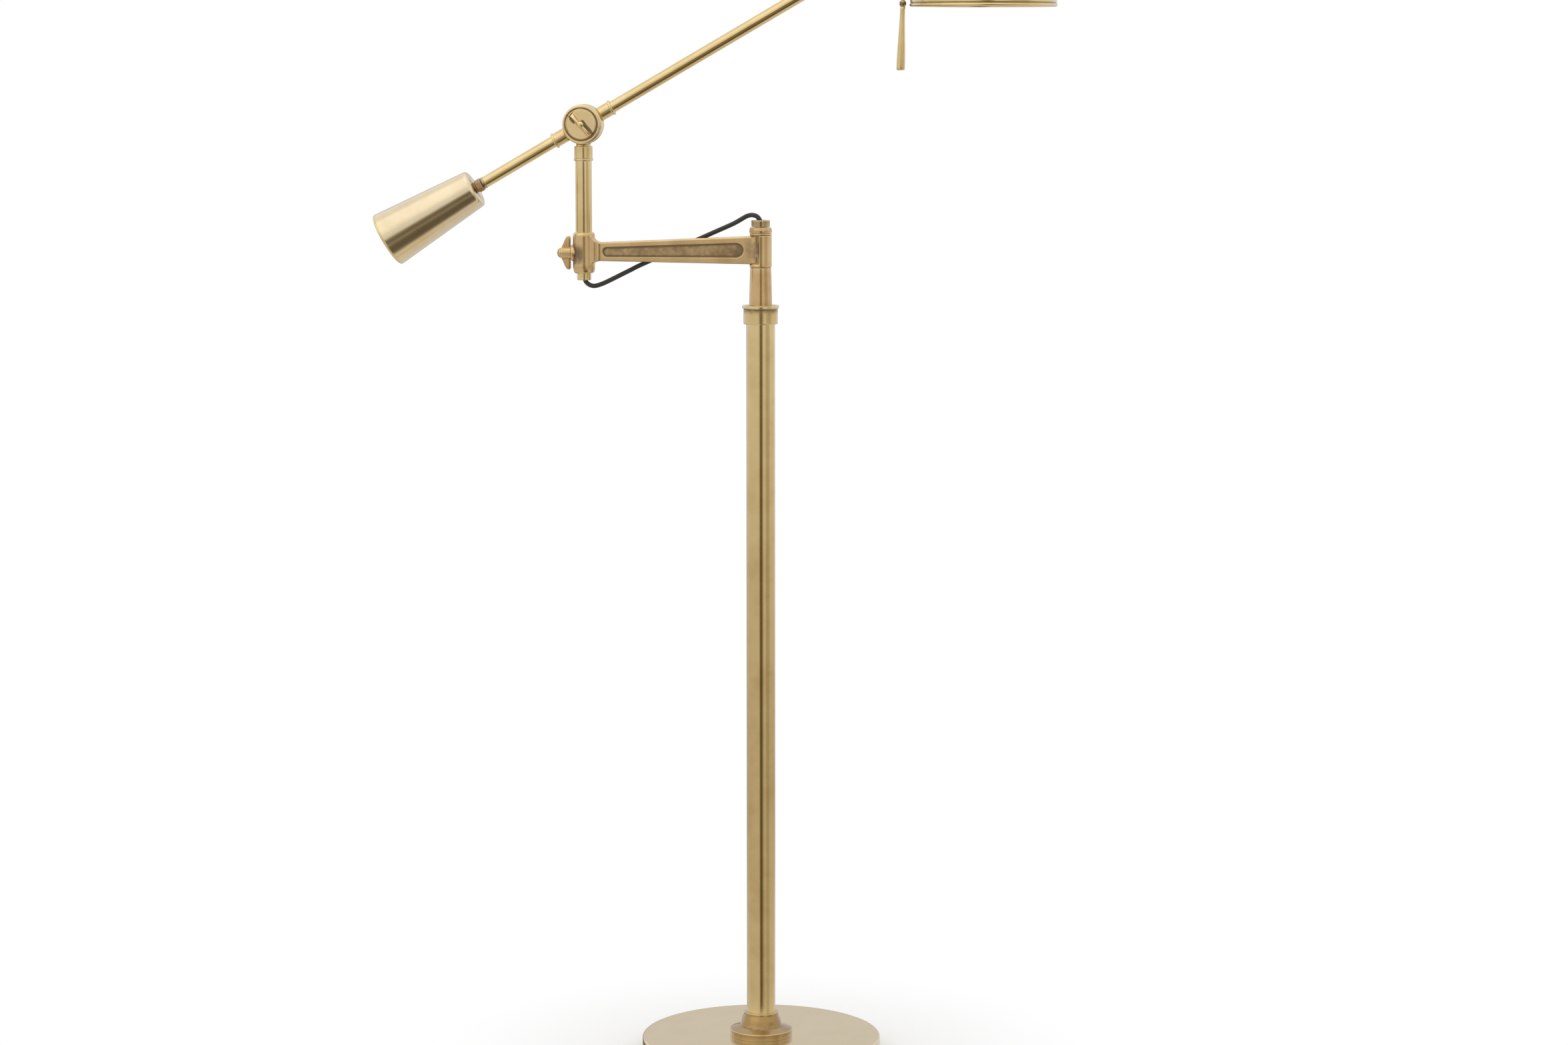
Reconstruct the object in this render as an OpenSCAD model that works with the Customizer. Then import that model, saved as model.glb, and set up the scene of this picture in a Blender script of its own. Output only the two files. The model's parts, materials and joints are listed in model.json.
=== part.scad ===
// Bridge floor lamp: a weighted round base, a column, a swing arm that clamps a stem,
// and a counterweighted boom with a tilting head.
// Millimetres, +Z up. The origin is on the floor, on the column's axis. The arm reaches to -X,
// and the boom rises to +X over the column.

/* [Base] */
// Diameter of the base disc
base_d = 305; // [240:1:380]
// Height of the base disc
base_h = 25; // [20:0.5:40]
// Radius of the base's top edge
base_edge_r = 3; // [1:0.5:5]
// Thickness of the spun brass shell over the weight
shell_wall = 1.2; // [0.8:0.1:2]
// Thickness of the felt under the base
felt_h = 1.5; // [1:0.5:3]
// Inset of the felt from the base's edge
felt_inset = 4; // [2:0.5:10]
// Diameter of the turned flange on the base
flange_d = 80; // [66:1:110]
// Height of the flange, from its foot to the bell
flange_h = 12; // [10:0.2:16]
// Height of the flange's upright rim
flange_rim_h = 7.2; // [4:0.2:9]
// Diameter of the bell's foot
bell_foot_d = 53.5; // [50:0.5:60]
// Diameter of the bell's top
bell_top_d = 43.5; // [42:0.5:48]
// Height of the bell
bell_h = 15.4; // [12:0.2:30]
// Bore of the cord gland
gland_bore_d = 6.4; // [5:0.1:7.4]
// Height of the cord gland above the floor
gland_z = 11; // [9:0.5:13]

/* [Column] */
// Diameter of the column tube
column_d = 36.2; // [30:0.1:41]
// Wall of the column tube
column_wall = 1.5; // [1:0.1:2.5]
// Length of column that shows between the bell and the collar
column_len = 888.4; // [600:0.1:1100]
// Diameter of the collar on top of the column
collar_d = 43.1; // [42:0.2:52]
// Height of the collar, up to its lip
collar_h = 19.5; // [16:0.5:30]
// Diameter of the collar's lip
lip_d = 46.2; // [46:0.2:58]
// Height of the collar's lip
lip_h = 3.9; // [2:0.5:6]
// Diameter of the tapered spigot's foot
spigot_foot_d = 29; // [28:0.1:34]
// Diameter of the tapered spigot's shoulder
spigot_top_d = 26.5; // [26:0.1:32]
// Height of the tapered spigot
spigot_h = 47.2; // [30:0.2:80]
// Diameter of the journal that the arm turns on
journal_d = 12; // [11:0.5:13]

/* [Swing arm] */
// Distance from the column's axis to the stem's axis
arm_len = 223.4; // [190:0.1:290]
// Diameter of the arm's hub
hub_d = 28; // [27:0.5:34]
// Height of the arm's hub
hub_h = 42.2; // [36:0.2:54]
// Thickness of the arm's web
web_t = 11.6; // [10:0.5:16]
// Height of the web at the hub
web_h_hub = 35.8; // [30:0.5:42]
// Height of the web at the clamp
web_h_clamp = 23.4; // [20:0.2:30]
// How far the web's middle line drops from the hub to the clamp
web_drop = 3.2; // [0:0.1:6]
// Depth of the panel sunk in each face of the web
panel_depth = 1.6; // [0.5:0.1:3]
// Outer diameter of the stem clamp at its middle
clamp_d = 27.9; // [27:0.1:34]
// Outer diameter of the stem clamp at its ends
clamp_end_d = 23.4; // [23.2:0.1:26]
// Height of the stem clamp
clamp_h = 51.6; // [44:0.2:70]
// Diameter of the ring over the hub
hub_ring_d = 28.7; // [27:0.1:36]
// Height of the ring over the hub
hub_ring_h = 6.8; // [4:0.5:12]
// Diameter of the top nut
top_nut_d = 23.6; // [20:0.1:30]
// Height of the top nut
top_nut_h = 8.3; // [7:0.2:14]

/* [Clamp screw] */
// Diameter of the clamp's boss for its screw
boss_d = 20.8; // [18:0.5:24]
// Diameter of the winged screw's hub
wing_hub_d = 15.5; // [12:0.5:20]
// Length of the winged screw's hub
wing_hub_len = 12.6; // [10:0.2:18]
// Span across the wings
wing_span = 41.6; // [34:0.5:56]
// Diameter of the screw's end button
button_d = 12.6; // [10:0.5:16]

/* [Stem] */
// Diameter of the stem tube
stem_d = 20.8; // [18:0.1:22.4]
// Wall of the stem tube
stem_wall = 1.5; // [1:0.1:2]
// Diameter of the cord bush under the stem
bush_d = 17.9; // [15:0.1:21]
// Height of the cord bush that shows
bush_h = 8.7; // [7:0.5:14]
// Distance from the clamp's top to the stem ring
stem_len = 89.4; // [80:0.2:160]
// Diameter of the stem ring
stem_ring_d = 24.7; // [23:0.2:30]
// Diameter of the stem collar
stem_collar_d = 23.3; // [22.5:0.1:25]
// Height of the stem collar
stem_collar_h = 15.4; // [12:0.1:24]

/* [Tilt joint] */
// Diameter of the joint's drum
drum_d = 50; // [50:0.5:56]
// Thickness of each half of the drum
drum_half_t = 13; // [11:0.5:18]
// Diameter of the tilt knob
knob_d = 46.6; // [40:0.5:56]
// Diameter of the pivot bolt
pivot_d = 8; // [6:0.5:10]

/* [Boom] */
// Angle of the boom above the horizontal
boom_angle = 30.2; // [24:0.2:36]
// Distance from the tilt joint to the head knuckle
boom_len = 466.5; // [455:0.5:580]
// Diameter of the boom tubes
boom_d = 14.5; // [12:0.1:15.6]
// Wall of the boom tubes
boom_wall = 1.2; // [0.8:0.1:2]
// Diameter of the sleeves beside the joint
sleeve_d = 17.8; // [17.6:0.1:20]
// Distance from the joint's centre to a sleeve's end
sleeve_reach = 39.4; // [36:0.5:56]
// Diameter of the sleeve rings
sleeve_ring_d = 20.2; // [20:0.1:22]
// Distance from the joint's centre to the rear tube's end
rear_tube_reach = 145; // [120:1:146]
// Distance from the joint's centre to the counterweight
weight_reach = 158.8; // [158:0.2:200]
// Length of the counterweight
weight_len = 128.4; // [100:0.1:150]
// Diameter of the counterweight's near end
weight_small_d = 48.3; // [40:0.5:60]
// Diameter of the counterweight's far end
weight_big_d = 70.6; // [62:0.5:80]
// Length of the iron core inside the counterweight
core_len = 115; // [60:1:126]
// Wall of the counterweight's shell
weight_wall = 2.5; // [1.5:0.1:4]

/* [Head] */
// Diameter of the head knuckle
knuckle_d = 37; // [36:0.5:44]
// Distance from the knuckle to the shade's axis
head_reach = 97.4; // [94:0.2:130]
// Diameter of the shade's skirt
shade_d = 181.5; // [150:0.5:192]
// Thickness of the shade's metal
shade_wall = 1.2; // [0.8:0.1:2]
// Height of the shade's upright skirt
skirt_h = 24.9; // [18:0.5:40]
// Height of the shade's dome
dome_h = 28; // [24:0.5:40]
// Height of the knuckle above the shade's rim
rim_drop = 88.8; // [86:0.2:110]
// Diameter of the holder cup
cup_d = 44.4; // [42:0.5:56]
// Length of the aiming handle, from the knuckle's centre
handle_len = 167.3; // [130:1:200]
// Diameter of the handle's flared end
grip_d = 10.6; // [8:0.5:16]
// Lean of the handle from the shade's axis
handle_lean = 1.7; // [0:0.5:6]

/* [Linking lead] */
// Diameter of the linking lead
lead_d = 5.8; // [4.5:0.1:6]

/* [Hidden] */
$fn = 64;
FIT = 0.05;         // radial clearance of a running fit
SEAT = 0.02;        // clearance of a fixed fit
FACE_GAP = 0.05;    // gap between flat faces that turn on each other

// Heights up the stand
base_top = base_h;
flange_top = base_top + flange_h;
bell_top = flange_top + bell_h;
collar_z = bell_top + column_len;
lip_z = collar_z + collar_h;
spigot_z = lip_z + lip_h;
shoulder_z = spigot_z + spigot_h;
thrust_t = 0.8;
hub_z = shoulder_z + thrust_t + FACE_GAP;
hub_top = hub_z + hub_h;
ring_gap = 0.6;
hub_ring_top = hub_top + ring_gap + hub_ring_h;
nut_z = hub_ring_top + 0.9;
nut_top = nut_z + top_nut_h;
nut_thread_h = 3;
journal_top = nut_z + nut_thread_h;
shell_in_top = base_h - shell_wall;
nipple_d = 10;
nipple_bore_d = 6.8;
base_recess_d = 40;
base_recess_top = felt_h + 10.5;
base_washer_d = 32;
base_washer_t = 1.6;
base_nut_h = 5;
base_nut_d = 17;
plug_h = 20;
column_socket_h = 16;
spigot_root_d = 24;
spigot_root_h = 12;
lead_bore_d = 7.2;
bush_wall = 1.5;

// The swing arm
arm_mid_z = hub_z + hub_h/2 + 0.2;
clamp_mid_z = arm_mid_z - web_drop;
clamp_z = clamp_mid_z - clamp_h/2 - 1.1;
clamp_top = clamp_z + clamp_h;
screw_z = clamp_mid_z - 1.4;
web_fillet_len = 12.6;
web_clamp_end = arm_len - 23;
panel_hub_end = 21.1;
panel_edge = 8.6;
panel_edge_clamp = 5.4;
clamp_bore_d = stem_d + 2*FIT;
shoe_d = 8;
screw_d = 6;
screw_gap = 0.3;
boss_face = clamp_d/2 + 2;
clamp_shoulder_low = 11;
clamp_shoulder_high = 5;
screw_tip = stem_d/2 + FIT + 1.8;
wing_t = 6;
wing_tip_w = 4.6;

// The stem and the tilt joint
bush_top = clamp_z;
bush_z = bush_top - bush_h;
bush_root_h = 12;
stem_top = clamp_top + stem_len;
stem_ring_h = 3;
stem_collar_z = stem_top + stem_ring_h;
stem_collar_top = stem_collar_z + stem_collar_h;
neck_gap = 2.2;
neck_d = 18.6;
joint_z = stem_collar_top + neck_gap + drum_d/2;
plate_gap = 0.5;
drum_clear = 0.3;
knob_t = 7;
knob_rim_h = 2;
knob_y = -(plate_gap + drum_half_t + FACE_GAP);

// The boom, along its own +X
sleeve_root = drum_d/2 - 6;
sleeve_ring_h = 3.5;
tube_root = drum_d/2 + 2;
knuckle_t = 8;
knuckle_socket_len = 24;
knuckle_socket_d = boom_d + 2;
front_tube_end = boom_len - knuckle_d/2 - 3;
weight_rod_d = 10;
weight_rod_root = rear_tube_reach - 20;
lock_ring_len = 11;
weight_end = weight_reach + weight_len;
weight_cap_t = 3;
boom_lead_d = 5;

// The head, from the knuckle's centre
knuckle_x = -arm_len + boom_len*cos(boom_angle);
knuckle_z = joint_z + boom_len*sin(boom_angle);
shade_x = knuckle_x + head_reach;
rim_z = knuckle_z - rim_drop;
rim_bead = 0.9;
rim_bead_h = 4;
skirt_top = rim_z + skirt_h;
shade_top = skirt_top + dome_h;
crown_d = 48;
cup_h = 48;
cup_z = shade_top;
cup_top = cup_z + cup_h;
cup_wall = 2;
cap_h = 6;
switch_gap = 0.5;
switch_d = 15;
switch_h = 12;
switch_shaft_d = 6;
head_arm_d = 13;
head_arm_root = knuckle_d/2 + 3;
handle_rod_d = 5;
handle_root = knuckle_d/2 + 3;
bead_d = 8.6;
bead_h = 7;
bead_reach = 85.1;
housing_d = 72;
housing_neck_d = 40;
housing_h = 20;
housing_z = shade_top - shade_wall - housing_h;
housing_wall = 1.5;
housing_deep = 10;
diffuser_t = 3;
board_t = 1.6;

lock_ring_d = 18;
wing_angle = 35;
knob_wing_h = 7;
knob_boss_d = 13;
knuckle_gap = 0.3;
knuckle_bolt_d = 6;
knuckle_bolt_head_d = 13;
head_boss_reach = knuckle_d/2 + 14;
handle_boss_d = 6.6;
handle_boss_reach = knuckle_d/2 + 10;
lead_pillar_d = 12;

// Route of the linking lead: up out of the top nut, over it, down behind the web and up
// into the foot of the stem. Each point is its share of the arm's length along -X, its
// distance behind the arm, and its height. The heights at each end follow the nut and the bush.
lead_start_z = nut_z + 2;
lead_over = [[0, 0, 0], [0.4, 0, 4], [2.4, 0.5, 8.4], [6.1, 1.8, 11.4], [12.1, 3.4, 12.4],
             [18.1, 4.8, 10.8], [24.1, 6.2, 7.5], [35.3, 8.5, 1.2]];
lead_under = [[69.4, 11, 18.3], [56.9, 9.5, 12], [44.5, 7, 5.8], [32.1, 4.5, -0.4],
              [23, 2.5, -4.6], [14.2, 1, -7.3], [8, 0.3, -6.6], [3.2, 0, -3.3], [0.7, 0, 1.2],
              [0, 0, 6]];
lead_behind = [0.25, 0.35, 0.46, 0.58];
lead_back_y = 12;
lead_top_z = lead_start_z + lead_over[7][2];
lead_low_z = bush_z + lead_under[0][2];
lead_slope_x0 = lead_over[7][0];
lead_slope_x1 = arm_len - lead_under[0][0];
lead_points = concat(
    [for (p = lead_over) [-p[0], p[1], lead_start_z + p[2]]],
    [for (s = lead_behind)
        let (x = s*arm_len, t = (x - lead_slope_x0)/(lead_slope_x1 - lead_slope_x0))
        [-x, lead_back_y, lead_top_z + (lead_low_z - lead_top_z)*t]],
    [for (p = lead_under) [-arm_len + p[0], p[1], bush_z + p[2]]]);
lead_steps = 2;
lead_sides = 10;

BRASS = "#c9ae78";
DARK_BRASS = "#8f7440";
IRON = "#4a4a4a";
BLACK = "#222222";
WHITE = "#f2f0ea";
STEEL = "#a9abad";

// ---------------------------------------------------------------- shape helpers

// Points on an arc about c, from angle a0 to a1.
function arc(c, r, a0, a1, n = 6) =
    [for (i = [0:n]) let (a = a0 + (a1 - a0)*i/n) [c[0] + r*cos(a), c[1] + r*sin(a)]];

// Points on a quarter ellipse about c, with radii rx and ry.
function oval(c, rx, ry, a0, a1, n = 8) =
    [for (i = [0:n]) let (a = a0 + (a1 - a0)*i/n) [c[0] + rx*cos(a), c[1] + ry*sin(a)]];

// A point on the smooth curve through the four points p, at t between the middle two.
function curve_at(p, t) =
    0.5*(2*p[1] + (p[2] - p[0])*t + (2*p[0] - 5*p[1] + 4*p[2] - p[3])*t*t
         + (3*p[1] - p[0] - 3*p[2] + p[3])*t*t*t);

// The route through points, with steps rings between each two.
function smooth(points, steps) =
    let (last = len(points) - 1)
    concat([for (i = [0:last - 1], k = [0:steps - 1])
                curve_at([points[max(i - 1, 0)], points[i], points[i + 1],
                          points[min(i + 2, last)]], k/steps)],
           [points[last]]);

function unit(v) = v/norm(v);

function reversed(list) = [for (i = [len(list) - 1:-1:0]) list[i]];

// A tube of one polyhedron along a route that never runs along +Y.
module sweep(route, d, sides) {
    last = len(route) - 1;
    function along(i) = i == 0 ? [0, 0, 1] : i == last ? [0, 0, 1]
        : unit(route[i + 1] - route[i - 1]);
    function side(i) = unit(cross([0, 1, 0], along(i)));
    function back(i) = cross(along(i), side(i));
    points = [for (i = [0:last], k = [0:sides - 1])
        let (a = 360*k/sides) route[i] + d/2*(side(i)*cos(a) + back(i)*sin(a))];
    walls = [for (i = [0:last - 1], k = [0:sides - 1])
        let (a = i*sides + k, b = i*sides + (k + 1) % sides)
        each [[a, b + sides, b], [a, a + sides, b + sides]]];
    ends = [[for (k = [0:sides - 1]) k],
            [for (k = [sides - 1:-1:0]) last*sides + k]];
    polyhedron(points, concat(ends, walls));
}

// A round bar along +Z from z0 to z1, with its edges broken by e.
module bar(d, z0, z1, e = 0.4) {
    rotate_extrude()
        polygon([[0, z0], [d/2 - e, z0], [d/2, z0 + e], [d/2, z1 - e], [d/2 - e, z1], [0, z1]]);
}

// A round bore along Z, a little longer than it needs to be at both ends.
module bore(d, z0, z1) {
    translate([0, 0, z0]) cylinder(d = d, h = z1 - z0);
}

// A ring along +Z with a bore.
module ring(od, id, z0, z1, e = 0.4) {
    difference() {
        bar(od, z0, z1, e);
        bore(id, z0 - 1, z1 + 1);
    }
}

// Children built along +Z, laid along +X or +Y.
module along_x() { rotate([0, 90, 0]) children(); }
module along_y() { rotate([-90, 0, 0]) children(); }

// Children in the frame of the column, stem, tilt joint, boom, knuckle or shade.
module at_stem() { translate([-arm_len, 0, 0]) children(); }
module at_joint() { translate([-arm_len, 0, joint_z]) children(); }
module at_boom() { at_joint() rotate([0, -boom_angle, 0]) children(); }
module at_knuckle() { translate([knuckle_x, 0, knuckle_z]) children(); }
module at_boom_end() { at_boom() translate([boom_len, 0, 0]) children(); }
module at_shade() { translate([shade_x, 0, 0]) children(); }
module at_handle() { at_knuckle() rotate([0, handle_lean, 0]) children(); }

// ---------------------------------------------------------------- base and column

module base_felt() {
    color("#3a3a36") cylinder(d = base_d - 2*felt_inset, h = felt_h);
}

module base_weight() {
    weight_d = base_d - 2*shell_wall - 2*SEAT;
    color(IRON) difference() {
        translate([0, 0, felt_h]) rotate_extrude()
            polygon(concat([[0, 0], [weight_d/2, 0]],
                arc([weight_d/2 - base_edge_r, shell_in_top - felt_h - SEAT - base_edge_r],
                    base_edge_r, 0, 90),
                [[0, shell_in_top - felt_h - SEAT]]));
        bore(nipple_d + 2*SEAT, 0, base_h);
        bore(base_recess_d, 0, base_recess_top);
        translate([-gland_bore_d, 0, 0]) cube([2*gland_bore_d, base_d, gland_z + gland_bore_d]);
    }
}

module base_shell() {
    inner_edge_r = max(base_edge_r - shell_wall, 0.5);
    color(BRASS) difference() {
        rotate_extrude()
            polygon(concat([[0, shell_in_top], [base_d/2 - shell_wall - inner_edge_r, shell_in_top]],
                arc([base_d/2 - shell_wall - inner_edge_r, shell_in_top - inner_edge_r],
                    inner_edge_r, 90, 0),
                [[base_d/2 - shell_wall, felt_h], [base_d/2, felt_h]],
                arc([base_d/2 - base_edge_r, base_h - base_edge_r], base_edge_r, 0, 90),
                [[0, base_h]]));
        bore(nipple_d + 2*SEAT, 0, base_h + 1);
        translate([0, base_d/2, gland_z]) along_y() bore(gland_bore_d + 2.4 + 2*SEAT, -9, 9);
    }
}

module cord_gland() {
    color(BLACK) translate([0, base_d/2, gland_z]) difference() {
        along_y() union() {
            bore(gland_bore_d + 2.4, -12, 0.02);
            bar(gland_bore_d + 7, 0.02, 3, 1);
        }
        along_y() bore(gland_bore_d, -13, 4);
    }
}

module base_washer() {
    color(STEEL) ring(base_washer_d, nipple_d + 2*SEAT, base_recess_top - base_washer_t,
                      base_recess_top, 0.2);
}

module base_nut() {
    top = base_recess_top - base_washer_t;
    color(STEEL) difference() {
        translate([0, 0, top - base_nut_h]) cylinder(d = base_nut_d, h = base_nut_h, $fn = 6);
        bore(nipple_d + 2*SEAT, top - base_nut_h - 1, top + 1);
    }
}

module tie_pipe() {
    color(STEEL) ring(nipple_d, nipple_bore_d, felt_h + 2, bell_top + plug_h - 2);
}

module base_flange() {
    rim_z1 = base_top + flange_rim_h;
    slope_w = (flange_d - bell_foot_d)/2 - 1;
    slope_h = flange_h - flange_rim_h;
    bell_w = (bell_foot_d - bell_top_d)/2;
    color(BRASS) difference() {
        rotate_extrude()
            polygon(concat([[0, base_top], [flange_d/2 - 0.5, base_top],
                            [flange_d/2, base_top + 0.5], [flange_d/2, rim_z1 - 0.6],
                            [flange_d/2 - 0.6, rim_z1]],
                oval([flange_d/2 - 1, flange_top], slope_w, slope_h, 270, 180),
                oval([bell_foot_d/2 - bell_w, flange_top], bell_w, bell_h - 0.6, 0, 84),
                [[bell_top_d/2 - 0.6, bell_top], [0, bell_top]]));
        bore(nipple_d + 2*SEAT, base_top - 1, bell_top + 1);
    }
}

module column_plug() {
    color(STEEL) ring(column_d - 2*column_wall - 2*SEAT, nipple_d + 2*SEAT, bell_top,
                      bell_top + plug_h);
}

module column_tube() {
    color(BRASS) ring(column_d, column_d - 2*column_wall, bell_top,
                      collar_z + column_socket_h);
}

module column_collar() {
    color(BRASS) difference() {
        rotate_extrude()
            polygon([[0, collar_z], [collar_d/2 - 1, collar_z], [collar_d/2, collar_z + 1],
                     [collar_d/2, lip_z - 0.6], [lip_d/2 - 0.8, lip_z], [lip_d/2, lip_z + 0.8],
                     [lip_d/2, spigot_z - 0.8], [lip_d/2 - 0.8, spigot_z], [0, spigot_z]]);
        bore(column_d + 2*SEAT, collar_z - 1, collar_z + column_socket_h + SEAT);
        bore(spigot_root_d + 2*SEAT, collar_z, spigot_z + 1);
    }
}

module column_spigot() {
    color(BRASS) difference() {
        rotate_extrude()
            polygon([[0, spigot_z - spigot_root_h], [spigot_root_d/2, spigot_z - spigot_root_h],
                     [spigot_root_d/2, spigot_z], [spigot_foot_d/2, spigot_z],
                     [spigot_foot_d/2, spigot_z + 2], [spigot_top_d/2, shoulder_z - 0.5],
                     [spigot_top_d/2 - 0.5, shoulder_z], [journal_d/2, shoulder_z],
                     [journal_d/2, journal_top], [0, journal_top]]);
        bore(lead_bore_d, spigot_z - spigot_root_h - 1, journal_top + 1);
    }
}

module column_lead() {
    color(BLACK) bore(lead_d, felt_h + 4, lead_start_z - FACE_GAP);
}

module thrust_washer() {
    color("#b08d57") ring(spigot_top_d - 1, journal_d + 2*SEAT, shoulder_z, shoulder_z + thrust_t, 0.1);
}

module top_nut() {
    mouth_r = lead_bore_d/2 + top_nut_h - nut_thread_h;
    color(BRASS) difference() {
        bar(top_nut_d, nut_z, nut_top, 0.8);
        bore(journal_d + 2*SEAT, nut_z - 1, journal_top);
        rotate_extrude()
            polygon(concat([[0, journal_top - 1], [lead_bore_d/2, journal_top - 1]],
                arc([mouth_r, journal_top], mouth_r - lead_bore_d/2, 180, 90),
                [[mouth_r, nut_top + 1], [0, nut_top + 1]]));
    }
}

// ---------------------------------------------------------------- swing arm

// The web seen from the front, with its flares up to the clamp. Each corner is a distance
// from the column's axis and a height.
module web_front() {
    top1 = arm_mid_z + web_h_hub/2;
    bottom1 = arm_mid_z - web_h_hub/2;
    top2 = clamp_mid_z + web_h_clamp/2;
    bottom2 = clamp_mid_z - web_h_clamp/2;
    flare = arm_len - web_clamp_end - clamp_d/2 + 3;
    low = clamp_z + clamp_shoulder_low - 2;
    high = clamp_top - clamp_shoulder_high + 2;
    polygon(concat(
        [[0, bottom1]],
        oval([web_clamp_end, low], flare, bottom2 - low, 90, 0),
        [[arm_len, low], [arm_len, high]],
        oval([web_clamp_end, high], flare, high - top2, 0, -90),
        [[0, top1]]));
}

// The web seen from above, with its fillets out to the hub and the clamp.
module web_plan() {
    fillet = 8;
    clamp_w = clamp_d/2 - 3;
    half = concat(hub_fillet(),
        oval([web_clamp_end + 1, clamp_w], fillet, clamp_w - web_t/2, 270, 360),
        [[arm_len, clamp_w]]);
    polygon(concat(half, [for (p = reversed(half)) [p[0], -p[1]]]));
}

// The hollow curve in plan from the front of the hub back to the web's face.
function hub_fillet() =
    oval([web_fillet_len, hub_d/2], web_fillet_len, (hub_d - web_t)/2, 180, 270, 12);

// The hub: round at its top and bottom, and scooped away to the web's fillets between them.
module hub() {
    scoop_z0 = arm_mid_z - web_h_hub/2;
    difference() {
        bar(hub_d, hub_z, hub_top, 1.2);
        for (s = [-1, 1])
            mirror([1, 0, 0]) translate([0, 0, scoop_z0]) linear_extrude(web_h_hub)
                polygon([for (p = concat([[0, hub_d]], hub_fillet(),
                                         [[hub_d, web_t/2], [hub_d, hub_d]])) [p[0], s*p[1]]]);
    }
    bar(journal_d + 2*FIT + 2*bush_wall + 3, hub_z, hub_top);
}

// The stem clamp's round body, drawn in at both ends.
module clamp_body() {
    draw_in = (clamp_d - clamp_end_d)/2;
    rotate_extrude()
        polygon(concat([[0, clamp_z], [clamp_end_d/2 - 0.8, clamp_z]],
            oval([clamp_end_d/2, clamp_z + clamp_shoulder_low], draw_in, clamp_shoulder_low - 0.6, -88, 0),
            oval([clamp_end_d/2, clamp_top - clamp_shoulder_high], draw_in, clamp_shoulder_high - 0.6, 0, 88),
            [[clamp_end_d/2 - 0.8, clamp_top], [0, clamp_top]]));
}

// Outline of the sunk panel: a slot whose round end at the hub is the larger.
module panel_front() {
    r1 = web_h_hub/2 - panel_edge;
    r2 = web_h_clamp/2 - panel_edge_clamp;
    c1 = [panel_hub_end + r1, arm_mid_z - web_drop*panel_hub_end/arm_len];
    c2 = [web_clamp_end - 1 - r2, clamp_mid_z];
    a = acos((r1 - r2)/norm(c2 - c1));
    polygon(concat(arc(c1, r1, a, 360 - a, 16), arc(c2, r2, -a, a, 12)));
}

// A front outline with distances from the column, made y0 to y1 thick towards -X.
module front_slab(y0, y1) {
    translate([0, y1, 0]) rotate([90, 0, 0]) mirror([1, 0, 0]) linear_extrude(y1 - y0) children();
}

module arm_casting() {
    color(BRASS) difference() {
        union() {
            intersection() {
                front_slab(-hub_d/2, hub_d/2) web_front();
                mirror([1, 0, 0]) translate([0, 0, clamp_z]) linear_extrude(hub_top) web_plan();
            }
            hub();
            bar(hub_d - 3, hub_top - 1, hub_top + ring_gap, 0.1);
            at_stem() clamp_body();
            translate([-arm_len - boss_face, 0, screw_z]) along_x() bar(boss_d, 0, boss_face, 1.5);
        }
        for (s = [-1, 1])
            front_slab(s*web_t/2 - panel_depth, s*web_t/2 + panel_depth) panel_front();
        bore(journal_d + 2*FIT + 2*bush_wall, hub_z - 1, hub_top + 2);
        at_stem() bore(clamp_bore_d, clamp_z - 1, clamp_top + 1);
        translate([-arm_len - boss_face, 0, screw_z]) along_x() {
            bore(screw_d + 2*FIT, -1, boss_face);
            bore(shoe_d + 2*FIT, boss_face - screw_tip - 1, boss_face);
        }
    }
}

module journal_bush() {
    color("#b08d57") ring(journal_d + 2*bush_wall + 2*FIT - 2*SEAT, journal_d + 2*FIT,
                          hub_z, hub_top + ring_gap, 0.2);
}

module hub_ring() {
    color(BRASS) ring(hub_ring_d, journal_d + 2*FIT, hub_top + ring_gap,
                      hub_ring_top, 0.8);
}

module clamp_shoe() {
    color(DARK_BRASS) intersection() {
        translate([-arm_len - screw_tip, 0, screw_z]) along_x() bore(shoe_d, 0, screw_tip);
        translate([-arm_len, 0, 0]) difference() {
            bore(clamp_d, clamp_z, clamp_top);
            bore(clamp_bore_d, clamp_z - 1, clamp_top + 1);
        }
    }
}

module linking_lead() {
    color(BLACK) sweep(smooth(lead_points, lead_steps), lead_d, lead_sides);
}

// ---------------------------------------------------------------- clamp screw

// The screw's frame: +X points into the clamp, with the boss's face at zero.
module at_screw() { translate([-arm_len - boss_face, 0, screw_z]) children(); }

module clamp_screw() {
    color(BRASS) at_screw() {
        along_x() bar(wing_hub_d, -screw_gap - wing_hub_len, -screw_gap, 1);
        along_x() bore(screw_d, -screw_gap - 1, boss_face - screw_tip - SEAT);
        for (s = [0, 1]) mirror([0, 0, s]) rotate([90, 0, 0])
            translate([0, 0, -wing_t/2]) linear_extrude(wing_t) wing();
    }
}

// One wing seen from the front: flat towards the clamp, and sloping from the hub's end up to
// a round tip on the other side.
module wing() {
    tip_r = wing_tip_w/2;
    tip = [-screw_gap - 0.6 - tip_r, wing_span/2 - tip_r];
    foot = [-screw_gap - wing_hub_len + 1, wing_hub_d/2 - 2];
    polygon(concat([[-screw_gap - 0.6, 2], [-screw_gap - 0.6, tip[1]]],
        arc(tip, tip_r, 0, 160),
        [[(tip[0] + foot[0])/2 - 2.2, (tip[1] + foot[1])/2 + 1], foot, [foot[0], 2]]));
}

module screw_button() {
    button_h = 5.5;
    color(BRASS) at_screw() translate([-screw_gap - wing_hub_len - SEAT, 0, 0]) along_x()
        rotate_extrude() polygon(concat([[0, 0]], oval([0, 0], button_d/2, -button_h, 0, 90, 8)));
}

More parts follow.
